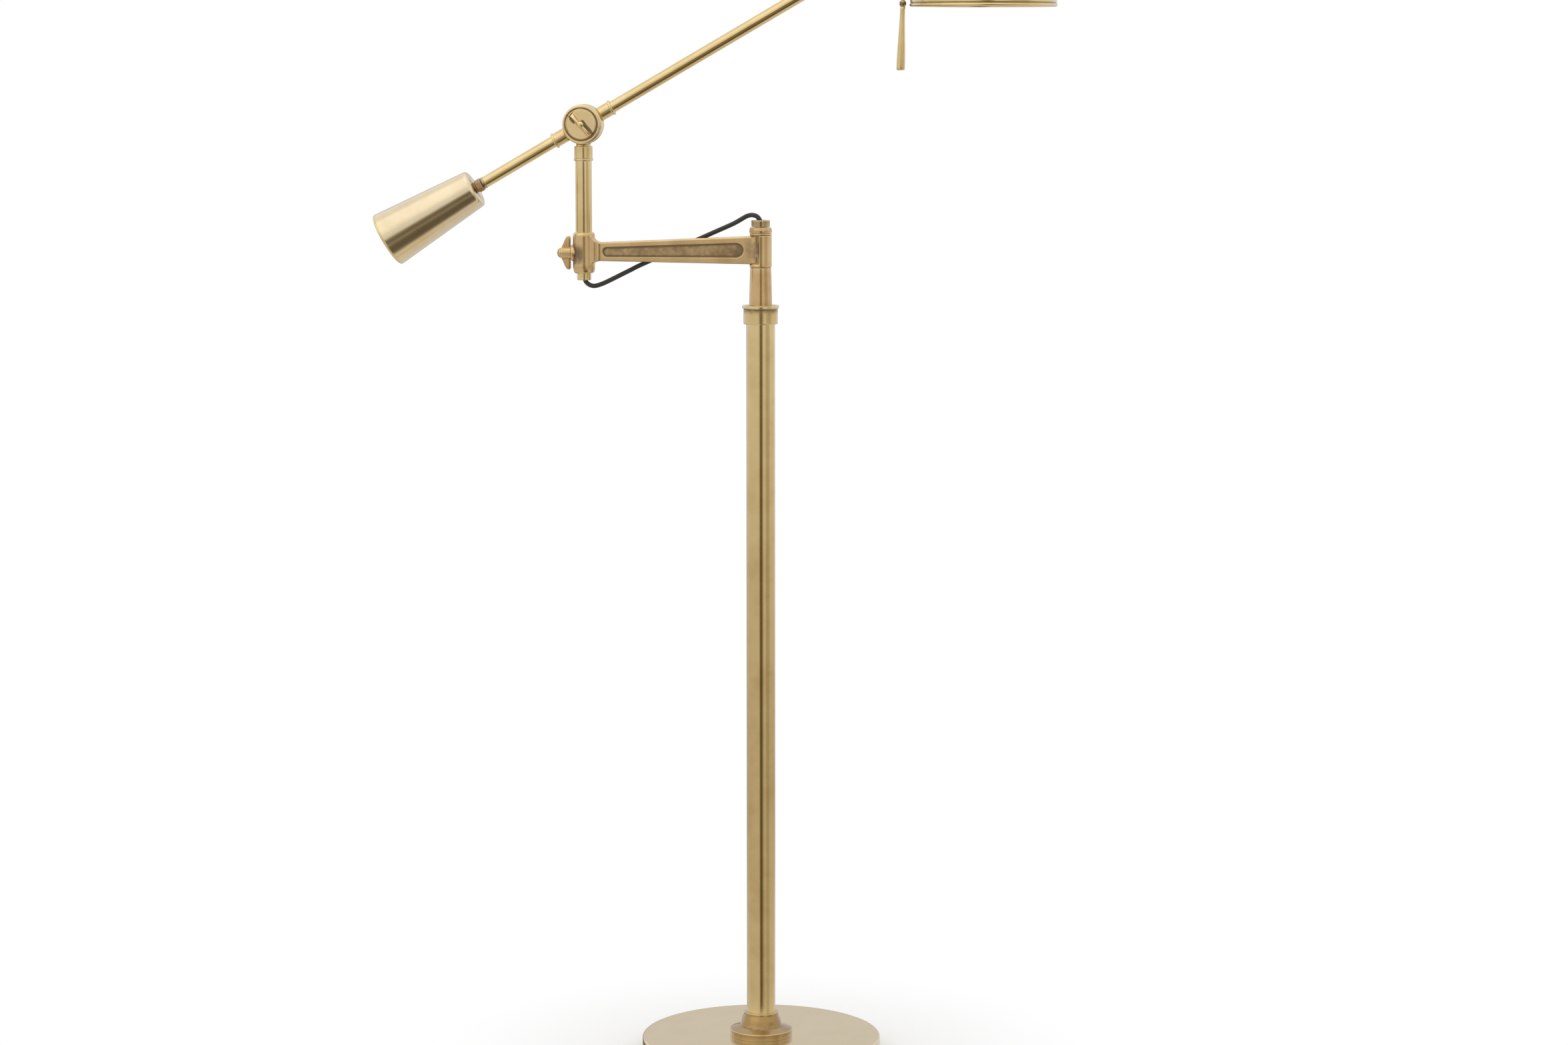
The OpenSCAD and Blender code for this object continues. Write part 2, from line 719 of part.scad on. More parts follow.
module cord_bush() {
    root_d = stem_d - 2*stem_wall - 2*FIT;
    mouth_r = lead_d/2 + 4.5;
    color(BRASS) at_stem() difference() {
        union() {
            bar(bush_d, bush_z, bush_top - FACE_GAP, 0.8);
            bore(root_d, bush_top - 1, bush_top + bush_root_h);
        }
        bore(lead_bore_d, bush_z - 1, bush_top + bush_root_h + 1);
        rotate_extrude()
            polygon(concat([[0, bush_z - 1], [mouth_r, bush_z - 1]],
                arc([mouth_r, bush_z + 5], mouth_r - lead_bore_d/2, 270, 180),
                [[lead_bore_d/2, bush_z + 6], [0, bush_z + 6]]));
    }
}

// ---------------------------------------------------------------- stem

module stem_tube() {
    color(BRASS) at_stem() ring(stem_d, stem_d - 2*stem_wall, bush_top, stem_top);
}

module stem_ring() {
    color(BRASS) at_stem() difference() {
        bar(stem_ring_d, stem_top, stem_collar_z, 0.6);
        bore(stem_d - 2*stem_wall, stem_top - 1, stem_collar_z + 1);
    }
}

module stem_collar() {
    color(BRASS) at_stem() difference() {
        bar(stem_collar_d, stem_collar_z, stem_collar_top, 0.8);
        bore(stem_d - 2*stem_wall, stem_collar_z - 1, stem_collar_top - 4);
    }
}

// ---------------------------------------------------------------- tilt joint

// The rear half of the drum, on a round neck that the stem collar carries.
module tilt_housing() {
    front = plate_gap;
    color(BRASS) at_joint() difference() {
        union() {
            along_y() drum_half(front);
            difference() {
                bore(neck_d, stem_collar_top - joint_z, -drum_d/2 + 8);
                along_y() bore(drum_d + 2*drum_clear, -drum_d, front);
            }
        }
        along_y() bore(pivot_d + 2*SEAT, -drum_d, drum_d);
    }
}

// Half of the drum along +Z, with its rounded edge at the far end.
module drum_half(z0) {
    edge = 2.5;
    z1 = z0 + drum_half_t;
    rotate_extrude()
        polygon(concat([[0, z0], [drum_d/2 - 0.4, z0], [drum_d/2, z0 + 0.4]],
            arc([drum_d/2 - edge, z1 - edge], edge, 0, 90),
            [[0, z1]]));
}

module tilt_back_cap() {
    cap_d = drum_d - 14;
    back = plate_gap + drum_half_t;
    color(BRASS) at_joint() along_y() difference() {
        rotate_extrude()
            polygon(concat([[0, back], [cap_d/2, back], [cap_d/2, back + 1]],
                oval([0, back + 1], cap_d/2 - 0.5, 2.5, 0, 90)));
        bore(pivot_d + 2*SEAT, back - 1, back + 1);
    }
}

module pivot_bolt() {
    back = plate_gap + drum_half_t;
    front = knob_y - knob_t + 3;
    color(STEEL) at_joint() along_y() bar(pivot_d, front, back + 1 - SEAT, 0.3);
}

module friction_washer() {
    color(BLACK) at_joint() along_y()
        ring(drum_d - 6, pivot_d + 2*SEAT, -plate_gap + FACE_GAP, plate_gap, 0.1);
}

module tilt_cheek() {
    color(BRASS) at_joint() difference() {
        mirror([0, 1, 0]) along_y() drum_half(plate_gap);
        along_y() bore(pivot_d + 2*FIT, -drum_d, drum_d);
    }
}

// The knob: a disc with a raised rim, a groove behind it and a wing across its face.
module tilt_knob() {
    rim_w = 3;
    face = knob_t - knob_rim_h;
    groove = 0.8;
    color(BRASS) at_joint() translate([0, knob_y, 0]) mirror([0, 1, 0]) along_y() difference() {
        union() {
            rotate_extrude()
                polygon(concat([[0, 0], [knob_d/2 - groove, 0], [knob_d/2 - groove, 1.2],
                                [knob_d/2, 2]],
                    arc([knob_d/2 - 1, knob_t - 1], 1, 0, 90, 4),
                    [[knob_d/2 - rim_w + 0.8, knob_t], [knob_d/2 - rim_w, face + 0.8],
                     [knob_d/2 - rim_w - 1, face], [0, face]]));
            rotate([0, 0, wing_angle]) knob_wing(face);
            bar(knob_boss_d, face - 1, face + knob_wing_h - 1, 1);
        }
        bore(pivot_d + 2*FIT, -1, knob_t - 2.5);
    }
}

// The rib across the knob's face, highest in the middle.
module knob_wing(face) {
    half = knob_d/2 - 5;
    wing_w = 7;
    rotate([90, 0, 0]) translate([0, 0, -wing_w/2]) linear_extrude(wing_w)
        polygon(concat([[-half, face - 1], [half, face - 1]],
            oval([0, face], half, knob_wing_h, 0, 180, 20)));
}

module knob_button() {
    top = knob_t - knob_rim_h + knob_wing_h;
    color(DARK_BRASS) at_joint() translate([0, knob_y, 0]) mirror([0, 1, 0]) along_y()
        rotate_extrude()
            polygon(concat([[0, top + SEAT], [4, top + SEAT]],
                oval([0, top + SEAT + 0.3], 4, 1.4, 0, 90, 6)));
}

// ---------------------------------------------------------------- boom

// A sleeve beside the drum, from the drum's rim outwards along +X.
module sleeve() {
    color(BRASS) difference() {
        along_x() bar(sleeve_d, sleeve_root, sleeve_reach, 0.5);
        along_y() bore(drum_d + 2*SEAT, -drum_d, 1 - plate_gap);
        along_y() bore(drum_d + 2*drum_clear, -plate_gap, drum_d);
        along_x() bore(boom_d + 2*SEAT, tube_root, sleeve_reach + 1);
    }
}

module front_sleeve() { at_boom() sleeve(); }
module rear_sleeve() { at_boom() mirror([1, 0, 0]) sleeve(); }

module sleeve_ring() {
    color(BRASS) along_x() ring(sleeve_ring_d, boom_d + 2*SEAT, sleeve_reach,
                                sleeve_reach + sleeve_ring_h, 0.9);
}

module front_sleeve_ring() { at_boom() sleeve_ring(); }
module rear_sleeve_ring() { at_boom() mirror([1, 0, 0]) sleeve_ring(); }

module front_tube() {
    color(BRASS) at_boom() along_x()
        ring(boom_d, boom_d - 2*boom_wall, tube_root + SEAT, front_tube_end, 0.3);
}

module rear_tube() {
    color(BRASS) at_boom() mirror([1, 0, 0]) along_x()
        ring(boom_d, boom_d - 2*boom_wall, tube_root + SEAT, rear_tube_reach, 0.3);
}

module boom_lead() {
    sag = boom_d/2 - boom_wall - boom_lead_d/2 - FIT;
    color(BLACK) at_boom() translate([0, 0, -sag]) along_x()
        bore(boom_lead_d, tube_root + 2, front_tube_end - 2);
}

module weight_rod() {
    plug_d = boom_d - 2*boom_wall - 2*SEAT;
    color(STEEL) at_boom() mirror([1, 0, 0]) along_x() union() {
        bore(plug_d, weight_rod_root, rear_tube_reach);
        bar(weight_rod_d, rear_tube_reach - 1, weight_end - 2);
    }
}

module weight_lock_ring() {
    color(BRASS) at_boom() mirror([1, 0, 0]) along_x()
        ring(lock_ring_d, weight_rod_d + 2*SEAT, weight_reach - lock_ring_len - SEAT,
             weight_reach - SEAT, 0.8);
}

// Radius of the counterweight at a distance from the joint.
function weight_r(x) = weight_small_d/2 + (weight_big_d - weight_small_d)/2*(x - weight_reach)/weight_len;

module weight_shell() {
    edge = 2.5;
    inner0 = weight_reach + weight_wall;
    color(BRASS) at_boom() mirror([1, 0, 0]) along_x() difference() {
        rotate_extrude()
            polygon(concat([[0, weight_reach]],
                arc([weight_r(weight_reach) - edge, weight_reach + edge], edge, 270, 360),
                [[weight_r(weight_end), weight_end], [weight_r(weight_end) - weight_wall, weight_end],
                 [weight_r(inner0) - weight_wall, inner0], [0, inner0]]));
        bore(weight_rod_d + 2*SEAT, weight_reach - 1, inner0 + 1);
    }
}

module weight_core() {
    core0 = weight_reach + weight_wall + SEAT;
    core1 = core0 + core_len;
    gap = weight_wall + 0.1;
    color(IRON) at_boom() mirror([1, 0, 0]) along_x() difference() {
        rotate_extrude()
            polygon([[0, core0], [weight_r(core0) - gap, core0], [weight_r(core1) - gap, core1],
                     [0, core1]]);
        bore(weight_rod_d + 2*SEAT, core0 - 1, core1 + 1);
    }
}

module weight_cap() {
    cap_r = weight_r(weight_end);
    color(BRASS) at_boom() mirror([1, 0, 0]) along_x() difference() {
        rotate_extrude()
            polygon(concat([[0, weight_end], [cap_r, weight_end]],
                arc([cap_r - weight_cap_t, weight_end + SEAT], weight_cap_t, 0, 90),
                [[0, weight_end + weight_cap_t]]));
        bore(weight_rod_d + 2*SEAT, weight_end - 1, weight_end + 0.01);
    }
}

// ---------------------------------------------------------------- head knuckle

// Half of the knuckle along +Z, with its rounded edge at the far end.
module knuckle_half() {
    edge = 1.5;
    rotate_extrude()
        polygon(concat([[0, knuckle_gap], [knuckle_d/2, knuckle_gap]],
            arc([knuckle_d/2 - edge, knuckle_t - edge], edge, 0, 90, 4),
            [[0, knuckle_t]]));
}

module boom_knuckle() {
    socket_end = knuckle_d/2 + knuckle_socket_len;
    color(BRASS) at_boom_end() difference() {
        union() {
            along_y() knuckle_half();
            difference() {
                mirror([1, 0, 0]) along_x() bar(knuckle_socket_d, knuckle_d/2 - 5, socket_end, 0.6);
                along_y() bore(knuckle_d + 2*drum_clear, -knuckle_d, knuckle_gap);
            }
        }
        mirror([1, 0, 0]) along_x()
            bore(boom_d + 2*SEAT, boom_len - front_tube_end - SEAT, socket_end + 1);
        along_y() bore(knuckle_bolt_d + 2*SEAT, -knuckle_d, knuckle_d);
    }
}

module knuckle_bolt() {
    head_h = 2.5;
    color(BRASS) at_boom_end() along_y() {
        bar(knuckle_bolt_d, -knuckle_t - FACE_GAP - head_h, knuckle_t + head_h, 0.2);
        for (s = [-1, 1]) mirror([0, 0, s < 0 ? 1 : 0])
            bar(knuckle_bolt_head_d, knuckle_t + FACE_GAP, knuckle_t + head_h + FACE_GAP, 1);
    }
}

module knuckle_washer() {
    color(BLACK) at_boom_end() along_y()
        ring(knuckle_d - 8, knuckle_bolt_d + 2*SEAT, -knuckle_gap + FACE_GAP, knuckle_gap, 0.1);
}

module head_knuckle() {
    color(BRASS) difference() {
        union() {
            at_knuckle() mirror([0, 1, 0]) along_y() knuckle_half();
            difference() {
                union() {
                    at_knuckle() along_x() bar(head_arm_d + 3, knuckle_d/2 - 5, head_boss_reach, 0.8);
                    at_handle() bar(handle_boss_d, -handle_boss_reach, -knuckle_d/2 + 5, 0.6);
                }
                at_knuckle() along_y() bore(knuckle_d + 2*drum_clear, -knuckle_gap, knuckle_d);
            }
        }
        at_knuckle() along_x() bore(head_arm_d + 2*SEAT, head_arm_root, head_boss_reach + 1);
        at_handle() bore(handle_rod_d + 2*SEAT, -handle_boss_reach - 1, -handle_root);
        at_knuckle() along_y() bore(knuckle_bolt_d + 2*FIT, -knuckle_d, knuckle_d);
    }
}

// ---------------------------------------------------------------- head

module head_arm() {
    tube_end = head_reach - cup_d/2 + cup_wall;
    color(BRASS) at_knuckle() along_x() difference() {
        bar(head_arm_d, head_arm_root + SEAT, tube_end, 0.3);
        bore(head_arm_d - 2.4, head_arm_root - 1, tube_end + 1);
    }
}

module handle_rod() {
    color(BRASS) at_handle() bore(handle_rod_d, -handle_len + 12, -handle_root - SEAT);
}

module handle_bead() {
    half = bead_h/2;
    color(DARK_BRASS) at_handle() difference() {
        translate([0, 0, -bead_reach]) rotate_extrude()
            polygon(concat([[0, -half]],
                oval([handle_rod_d/2, 0], (bead_d - handle_rod_d)/2, half, -90, 90, 10),
                [[0, half]]));
        bore(handle_rod_d + 2*SEAT, -bead_reach - bead_h, -bead_reach + bead_h);
    }
}

// The grip: a turned sleeve that swells from the rod to a round end.
module handle_grip() {
    top = bead_reach + bead_h/2 + SEAT;
    end_r = 2.5;
    neck_r = handle_rod_d/2 + 0.6;
    swell_len = handle_len - top - end_r;
    profile = [for (i = [0:12]) let (t = i/12)
        [neck_r + (grip_d/2 - neck_r)*pow(sin(90*t), 2), -top - swell_len*t]];
    color(BRASS) at_handle() difference() {
        rotate_extrude()
            polygon(concat([[0, -top]], profile,
                arc([grip_d/2 - end_r, -handle_len + end_r], end_r, -10, -90, 5), [[0, -handle_len]]));
        bore(handle_rod_d + 2*SEAT, -handle_len + 12 - SEAT, -top + 1);
    }
}

module holder_cup() {
    color(BRASS) difference() {
        at_shade() union() {
            difference() {
                bar(cup_d, cup_z, cup_top, 1);
                bore(cup_d - 2*cup_wall, cup_z + cup_wall, cup_top + 1);
            }
            bar(lead_pillar_d, cup_z, cup_z + 8);
        }
        at_shade() bore(lead_bore_d, cup_z - 1, cup_z + 9);
        at_knuckle() along_x() bore(head_arm_d + 2*SEAT, 0, head_reach - cup_d/2 + cup_wall + 2);
    }
}

module cup_cap() {
    color(BRASS) at_shade() difference() {
        union() {
            rotate_extrude()
                polygon(concat([[0, cup_top], [cup_d/2, cup_top], [cup_d/2, cup_top + 1]],
                    arc([cup_d/2 - cap_h + 1, cup_top + 1], cap_h - 1, 0, 90),
                    [[0, cup_top + cap_h]]));
            bore(cup_d - 2*cup_wall - 2*SEAT, cup_top - 3, cup_top + 1);
        }
        bore(switch_shaft_d + 2*FIT, cup_top - 4, cup_top + cap_h + 1);
    }
}

// Outline of the shade's metal at an inset from its outer face, from the crown to the rim.
function shade_line(inset) = concat(
    oval([crown_d/2, skirt_top], shade_d/2 - crown_d/2 - inset, dome_h - inset, 90, 0, 16),
    [[shade_d/2 - inset, rim_z + rim_bead_h + 2.2]]);

module shade() {
    outer = shade_d/2;
    color(BRASS) at_shade() difference() {
        rotate_extrude()
            polygon(concat([[0, shade_top]], shade_line(0),
                [[outer - 0.7, rim_z + rim_bead_h + 1.4], [outer, rim_z + rim_bead_h + 0.6]],
                arc([outer + rim_bead - rim_bead_h/2, rim_z + rim_bead_h/2], rim_bead_h/2, 80, -90, 10),
                [[outer - shade_wall - 0.5, rim_z], [outer - shade_wall, rim_z + 1]],
                reversed(shade_line(shade_wall)), [[0, shade_top - shade_wall]]));
        bore(lead_bore_d, rim_z, shade_top + 1);
    }
}

module light_housing() {
    wide_z = housing_z + housing_deep;
    color(WHITE) at_shade() difference() {
        union() {
            bar(housing_d, housing_z, wide_z, 1);
            bar(housing_neck_d, wide_z - 1, housing_z + housing_h);
        }
        bore(housing_d - 2*housing_wall, housing_z - 1, housing_z + housing_deep - 2);
        bore(lead_bore_d, housing_z, housing_z + housing_h + 1);
    }
}

module light_board() {
    top = housing_z + housing_deep - 2;
    color("#e8e4c8") at_shade() bore(housing_d - 2*housing_wall - 6, top - board_t, top);
}

module diffuser() {
    color(WHITE) at_shade()
        bar(housing_d - 2*housing_wall - 2*SEAT, housing_z + 0.5, housing_z + 0.5 + diffuser_t, 0.4);
}

module switch_knob() {
    knob_z = cup_top + cap_h + switch_gap;
    color(DARK_BRASS) at_shade() union() {
        bar(switch_d, knob_z, knob_z + switch_h, 1);
        bore(switch_shaft_d, cup_top - 6, knob_z + 1);
    }
}

base_felt();
base_weight();
base_shell();
cord_gland();
base_washer();
base_nut();
tie_pipe();
base_flange();
column_plug();
column_tube();
column_collar();
column_spigot();
column_lead();
thrust_washer();
top_nut();
arm_casting();
journal_bush();
hub_ring();
clamp_shoe();
linking_lead();
clamp_screw();
screw_button();
cord_bush();
stem_tube();
stem_ring();
stem_collar();
tilt_housing();
tilt_back_cap();
pivot_bolt();
friction_washer();
tilt_knob();
knob_button();
tilt_cheek();
front_sleeve();
rear_sleeve();
front_sleeve_ring();
rear_sleeve_ring();
front_tube();
rear_tube();
boom_lead();
weight_rod();
weight_lock_ring();
weight_shell();
weight_core();
weight_cap();
boom_knuckle();
knuckle_bolt();
knuckle_washer();
head_knuckle();
head_arm();
handle_rod();
handle_bead();
handle_grip();
holder_cup();
cup_cap();
shade();
light_housing();
light_board();
diffuser();
switch_knob();
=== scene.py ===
# %% [markdown]
# # A bridge floor lamp
# The lamp is all brass: a heavy round base, a column, a cast arm that swings on the column and
# clamps a stem, and a boom that tilts on the stem with a counterweight at one end and a small
# shade at the other. Its working shapes come ready made as a frame. This lesson gives each
# piece the surface and the finish that the eye expects.

# %% Load the frame
import json
import math
import bmesh
import bpy
import numpy as np
from mathutils import Matrix, Vector


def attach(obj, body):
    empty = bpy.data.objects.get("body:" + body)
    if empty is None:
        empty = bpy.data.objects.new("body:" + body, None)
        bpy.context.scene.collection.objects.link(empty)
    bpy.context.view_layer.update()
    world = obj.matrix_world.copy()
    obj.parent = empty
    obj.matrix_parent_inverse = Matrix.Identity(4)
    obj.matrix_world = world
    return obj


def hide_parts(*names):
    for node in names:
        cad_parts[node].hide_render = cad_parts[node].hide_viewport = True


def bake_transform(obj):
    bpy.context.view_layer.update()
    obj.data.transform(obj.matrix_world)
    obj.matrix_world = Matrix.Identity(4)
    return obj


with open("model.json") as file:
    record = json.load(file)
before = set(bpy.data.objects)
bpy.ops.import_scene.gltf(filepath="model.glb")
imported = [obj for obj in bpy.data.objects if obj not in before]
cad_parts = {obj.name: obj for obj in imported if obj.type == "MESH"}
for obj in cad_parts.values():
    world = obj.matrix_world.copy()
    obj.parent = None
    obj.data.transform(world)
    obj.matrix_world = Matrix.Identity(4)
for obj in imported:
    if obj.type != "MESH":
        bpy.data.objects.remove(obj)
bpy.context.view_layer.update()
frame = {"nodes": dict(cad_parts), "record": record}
slot_of_node = {part["node"]: part["material_slot"] for part in frame["record"]["subparts"]}

# %% [markdown]
# ## The camera
# A long lens far away keeps the column's sides parallel. The camera stands a little to the
# right of the lamp's front at eye height and looks slightly down, so that the top of the base
# shows as a narrow ellipse. The top of the picture cuts through the shade.

# %% Place the camera
MM = 0.001
CAMERA_AZIMUTH = math.radians(5.245)
CAMERA_PITCH = math.radians(7.262)
CAMERA_DISTANCE = 4.726
CAMERA_HEIGHT = 1.2913
CAMERA_SIDESTEP = 0.02927
SENSOR_WIDTH = 36.0
FOCAL_PIXELS, PICTURE_WIDTH = 5647.8, 2352

right = Vector((math.cos(CAMERA_AZIMUTH), math.sin(CAMERA_AZIMUTH), 0))
ahead = Vector((-math.sin(CAMERA_AZIMUTH), math.cos(CAMERA_AZIMUTH), 0))
scene = bpy.context.scene
camera_data = bpy.data.cameras.new("camera")
camera_data.sensor_width = SENSOR_WIDTH
camera_data.lens = FOCAL_PIXELS / PICTURE_WIDTH * SENSOR_WIDTH
camera_data.clip_end = 50
camera = bpy.data.objects.new("camera", camera_data)
camera.location = right * CAMERA_SIDESTEP - ahead * CAMERA_DISTANCE + Vector((0, 0, CAMERA_HEIGHT))
camera.rotation_euler = (math.pi / 2 - CAMERA_PITCH, 0, CAMERA_AZIMUTH)
scene.collection.objects.link(camera)
scene.camera = camera
scene.view_settings.view_transform = "Standard"
print("camera: lens", round(camera_data.lens, 2), "mm, at", tuple(round(v, 3) for v in camera.location))

# %% [markdown]
# ## Colours and shader nodes
# Colours are written as the hex codes that a paint program shows. Blender works with linear
# light, so one function turns the one into the other. A second small function adds a shader
# node, sets it and wires it, which keeps every material to a few readable lines.

# %% Two helpers for materials
def colour(code):
    """Linear RGBA of an sRGB hex code: c/12.92 in the darkest part, else ((c+0.055)/1.055)^2.4."""
    srgb = np.array([int(code[i:i + 2], 16) for i in (1, 3, 5)]) / 255
    linear = np.where(srgb <= 0.04045, srgb / 12.92, ((srgb + 0.055) / 1.055) ** 2.4)
    return (*linear.tolist(), 1.0)


def add(tree, kind, inputs=None, **settings):
    """Add a shader node. An input takes a value, or another node's socket to be wired to."""
    node = tree.nodes.new("ShaderNode" + kind)
    for name, value in settings.items():
        setattr(node, name, value)
    for socket, value in (inputs or {}).items():
        if isinstance(value, bpy.types.NodeSocket):
            tree.links.new(value, node.inputs[socket])
        else:
            node.inputs[socket].default_value = value
    return node


# %% [markdown]
# ## The studio
# Brass has hardly any look of its own: it shows the room, tinted. The picture was taken
# between large white walls, brightest high up on the left, with the light falling off towards
# the floor in front and a darker patch of room there, a little to the right of the camera. The
# fall makes the column duller towards its foot. The patch gives each upright tube its dark
# stripe and the counterweight its dark band. The dark parts of a room are warm, so they are tinted.
# The world draws all this for mirror-like rays only: the camera itself sees plain white, and
# matt things are lit evenly. A second set of patches lies opposite, so that the lamp looks as
# lively from behind.

# %% Light the studio
def heading(azimuth, elevation):
    """Unit vector towards an azimuth (from the front, to the right) and an elevation."""
    a, e = math.radians(azimuth), math.radians(elevation)
    return (math.sin(a) * math.cos(e), -math.cos(a) * math.cos(e), math.sin(e))


# Brightness of the room by the sine of the elevation
ROOM = [(-1.0, 0.78), (-0.6, 0.74), (-0.36, 0.74), (-0.232, 0.74), (-0.212, 0.50), (-0.15, 0.66),
        (-0.09, 0.82), (0.0, 0.88), (0.2, 0.92), (0.42, 1.0), (0.8, 1.02), (1.0, 1.35)]
# Each patch: heading, half angle where it is full, half angle where it has faded, brightness
PATCHES = [
    ((8, -9), 6, 17, 0.17),
    ((28, -40), 12, 30, 0.17),
    ((62, 0), 10, 24, 0.72),
    ((-45, 45), 10, 42, 1.30),
    ((185, 16), 8, 34, 0.74),
    ((197, -13), 9, 21, 0.30),
    ((214, -38), 14, 27, 0.30),
]
WARM_DARK = (1.0, 0.82, 0.56, 1)    # tint of the room's dark parts
MATT_LIGHT = 0.97                   # strength of the even light on matt things
world = bpy.data.worlds.new("studio")
world.use_nodes = True
scene.world = world
tree = world.node_tree
tree.nodes.clear()
direction = add(tree, "TexCoord").outputs["Generated"]
height = add(tree, "SeparateXYZ", {0: direction}).outputs[2]
share = add(tree, "Math", {0: height, 1: 0.5, 2: 0.5}, operation="MULTIPLY_ADD")
room = add(tree, "ValToRGB", {0: share.outputs[0]})
for sine, level in ROOM[1:-1]:
    room.color_ramp.elements.new(sine / 2 + 0.5)
for stop, (sine, level) in zip(room.color_ramp.elements, ROOM):
    stop.color = (level, level, level, 1)
mirror_light = room.outputs[0]
for (azimuth, elevation), full, faded, level in PATCHES:
    facing = add(tree, "VectorMath", {0: direction, 1: heading(azimuth, elevation)},
                 operation="DOT_PRODUCT")
    patch = add(tree, "MapRange", {
        "Value": facing.outputs["Value"], "From Min": math.cos(math.radians(faded)),
        "From Max": math.cos(math.radians(full)), "To Min": 1.0, "To Max": level},
        interpolation_type="SMOOTHSTEP")
    dimmed = add(tree, "Math", {0: patch.outputs[0], 1: mirror_light}, operation="MULTIPLY")
    mirror_light = dimmed.outputs[0]
warmth = add(tree, "MapRange", {"Value": mirror_light, "From Min": 0.25, "From Max": 0.85})
tint = add(tree, "Mix", {"Factor": warmth.outputs[0], 6: WARM_DARK, 7: (1, 1, 1, 1)},
           data_type="RGBA")
rays = add(tree, "LightPath")
seen = add(tree, "Math", {0: rays.outputs["Is Camera Ray"], 1: rays.outputs["Is Transmission Ray"]},
           operation="MAXIMUM")
unseen = add(tree, "Mix", {0: rays.outputs["Is Glossy Ray"], 2: MATT_LIGHT, 3: mirror_light})
strength = add(tree, "Mix", {0: seen.outputs[0], 2: unseen.outputs[0], 3: 1.0})
tinted = add(tree, "Mix", {0: rays.outputs["Is Glossy Ray"], 6: (1, 1, 1, 1), 7: tint.outputs["Result"]},
             data_type="RGBA")
background = add(tree, "Background", {"Color": tinted.outputs["Result"], "Strength": strength.outputs[0]})
add(tree, "OutputWorld", {"Surface": background.outputs[0]})
print("studio:", len(PATCHES), "patches in the reflections")

# %% [markdown]
# ## The floor
# A white sweep of paper. Near the lamp it takes the lamp's soft shadow, and further out it
# fades to the same white as the background, so its edge never shows. Brass that mirrors the
# floor would show it far too white, so mirror-like rays pass through it to the studio, whose
# lower part stands for the floor with its own dark patch.

# %% Lay the floor
FLOOR_RADIUS, FLOOR_SIDES = 0.60, 96
FADE_START, FADE_END = 0.16, 0.46
floor_angles = np.linspace(0, 2 * np.pi, FLOOR_SIDES, endpoint=False)
floor_rim = FLOOR_RADIUS * np.stack([np.cos(floor_angles), np.sin(floor_angles), np.zeros(FLOOR_SIDES)], 1)
floor_mesh = bpy.data.meshes.new("floor")
floor_mesh.from_pydata(floor_rim.tolist(), [], [list(range(FLOOR_SIDES))])
floor = bpy.data.objects.new("floor", floor_mesh)
scene.collection.objects.link(floor)

paper = bpy.data.materials.new("white_paper_sweep")
paper.use_nodes = True
tree = paper.node_tree
tree.nodes.clear()
place = add(tree, "TexCoord").outputs["Object"]
distance = add(tree, "VectorMath", {0: place}, operation="LENGTH")
fade = add(tree, "MapRange", {
    "Value": distance.outputs["Value"], "From Min": FADE_START, "From Max": FADE_END},
    interpolation_type="SMOOTHSTEP")
rays = add(tree, "LightPath")
seen = add(tree, "Math", {0: rays.outputs["Is Camera Ray"], 1: fade.outputs[0]}, operation="MULTIPLY")
matt = add(tree, "BsdfDiffuse", {"Color": colour("#fbfbfa")})
white = add(tree, "Emission", {"Color": (1, 1, 1, 1), "Strength": 1.0})
sheet = add(tree, "MixShader", {0: seen.outputs[0], 1: matt.outputs[0], 2: white.outputs[0]})
clear = add(tree, "BsdfTransparent")
laid = add(tree, "MixShader", {0: rays.outputs["Is Glossy Ray"], 1: sheet.outputs[0], 2: clear.outputs[0]})
add(tree, "OutputMaterial", {"Surface": laid.outputs[0]})
floor.data.materials.append(paper)
print("floor: radius", FLOOR_RADIUS, "m")


# %% [markdown]
# ## Turned shapes
# Almost every piece of this lamp came off a lathe. A turned piece is a profile carried round
# an axis, so it needs two things: a list of corners, and the axis it stands on. On real metal
# no corner is quite sharp, and the small curve is what catches the light. So each corner is
# given a third number, how far back its rounding starts, and is replaced by a short curve.
# A corner with two numbers stays as it is.
# A few rows close to each rounding keep the long flat runs flat under smooth shading.

# %% Profiles
CURVE_POINTS = 6     # on each rounding
FLAT_ROW = 0.5       # mm from a rounding to the row that keeps the flat beside it flat
WEAR_REACH = 1.1     # mm that wear spreads to either side of an edge


def oval(centre, across, up, start, end, count=12):
    """Profile corners on an ellipse: centre + (across*cos a, up*sin a), a from start to end degrees."""
    a = np.radians(np.linspace(start, end, count + 1))
    return [(centre[0] + across * math.cos(t), centre[1] + up * math.sin(t)) for t in a]


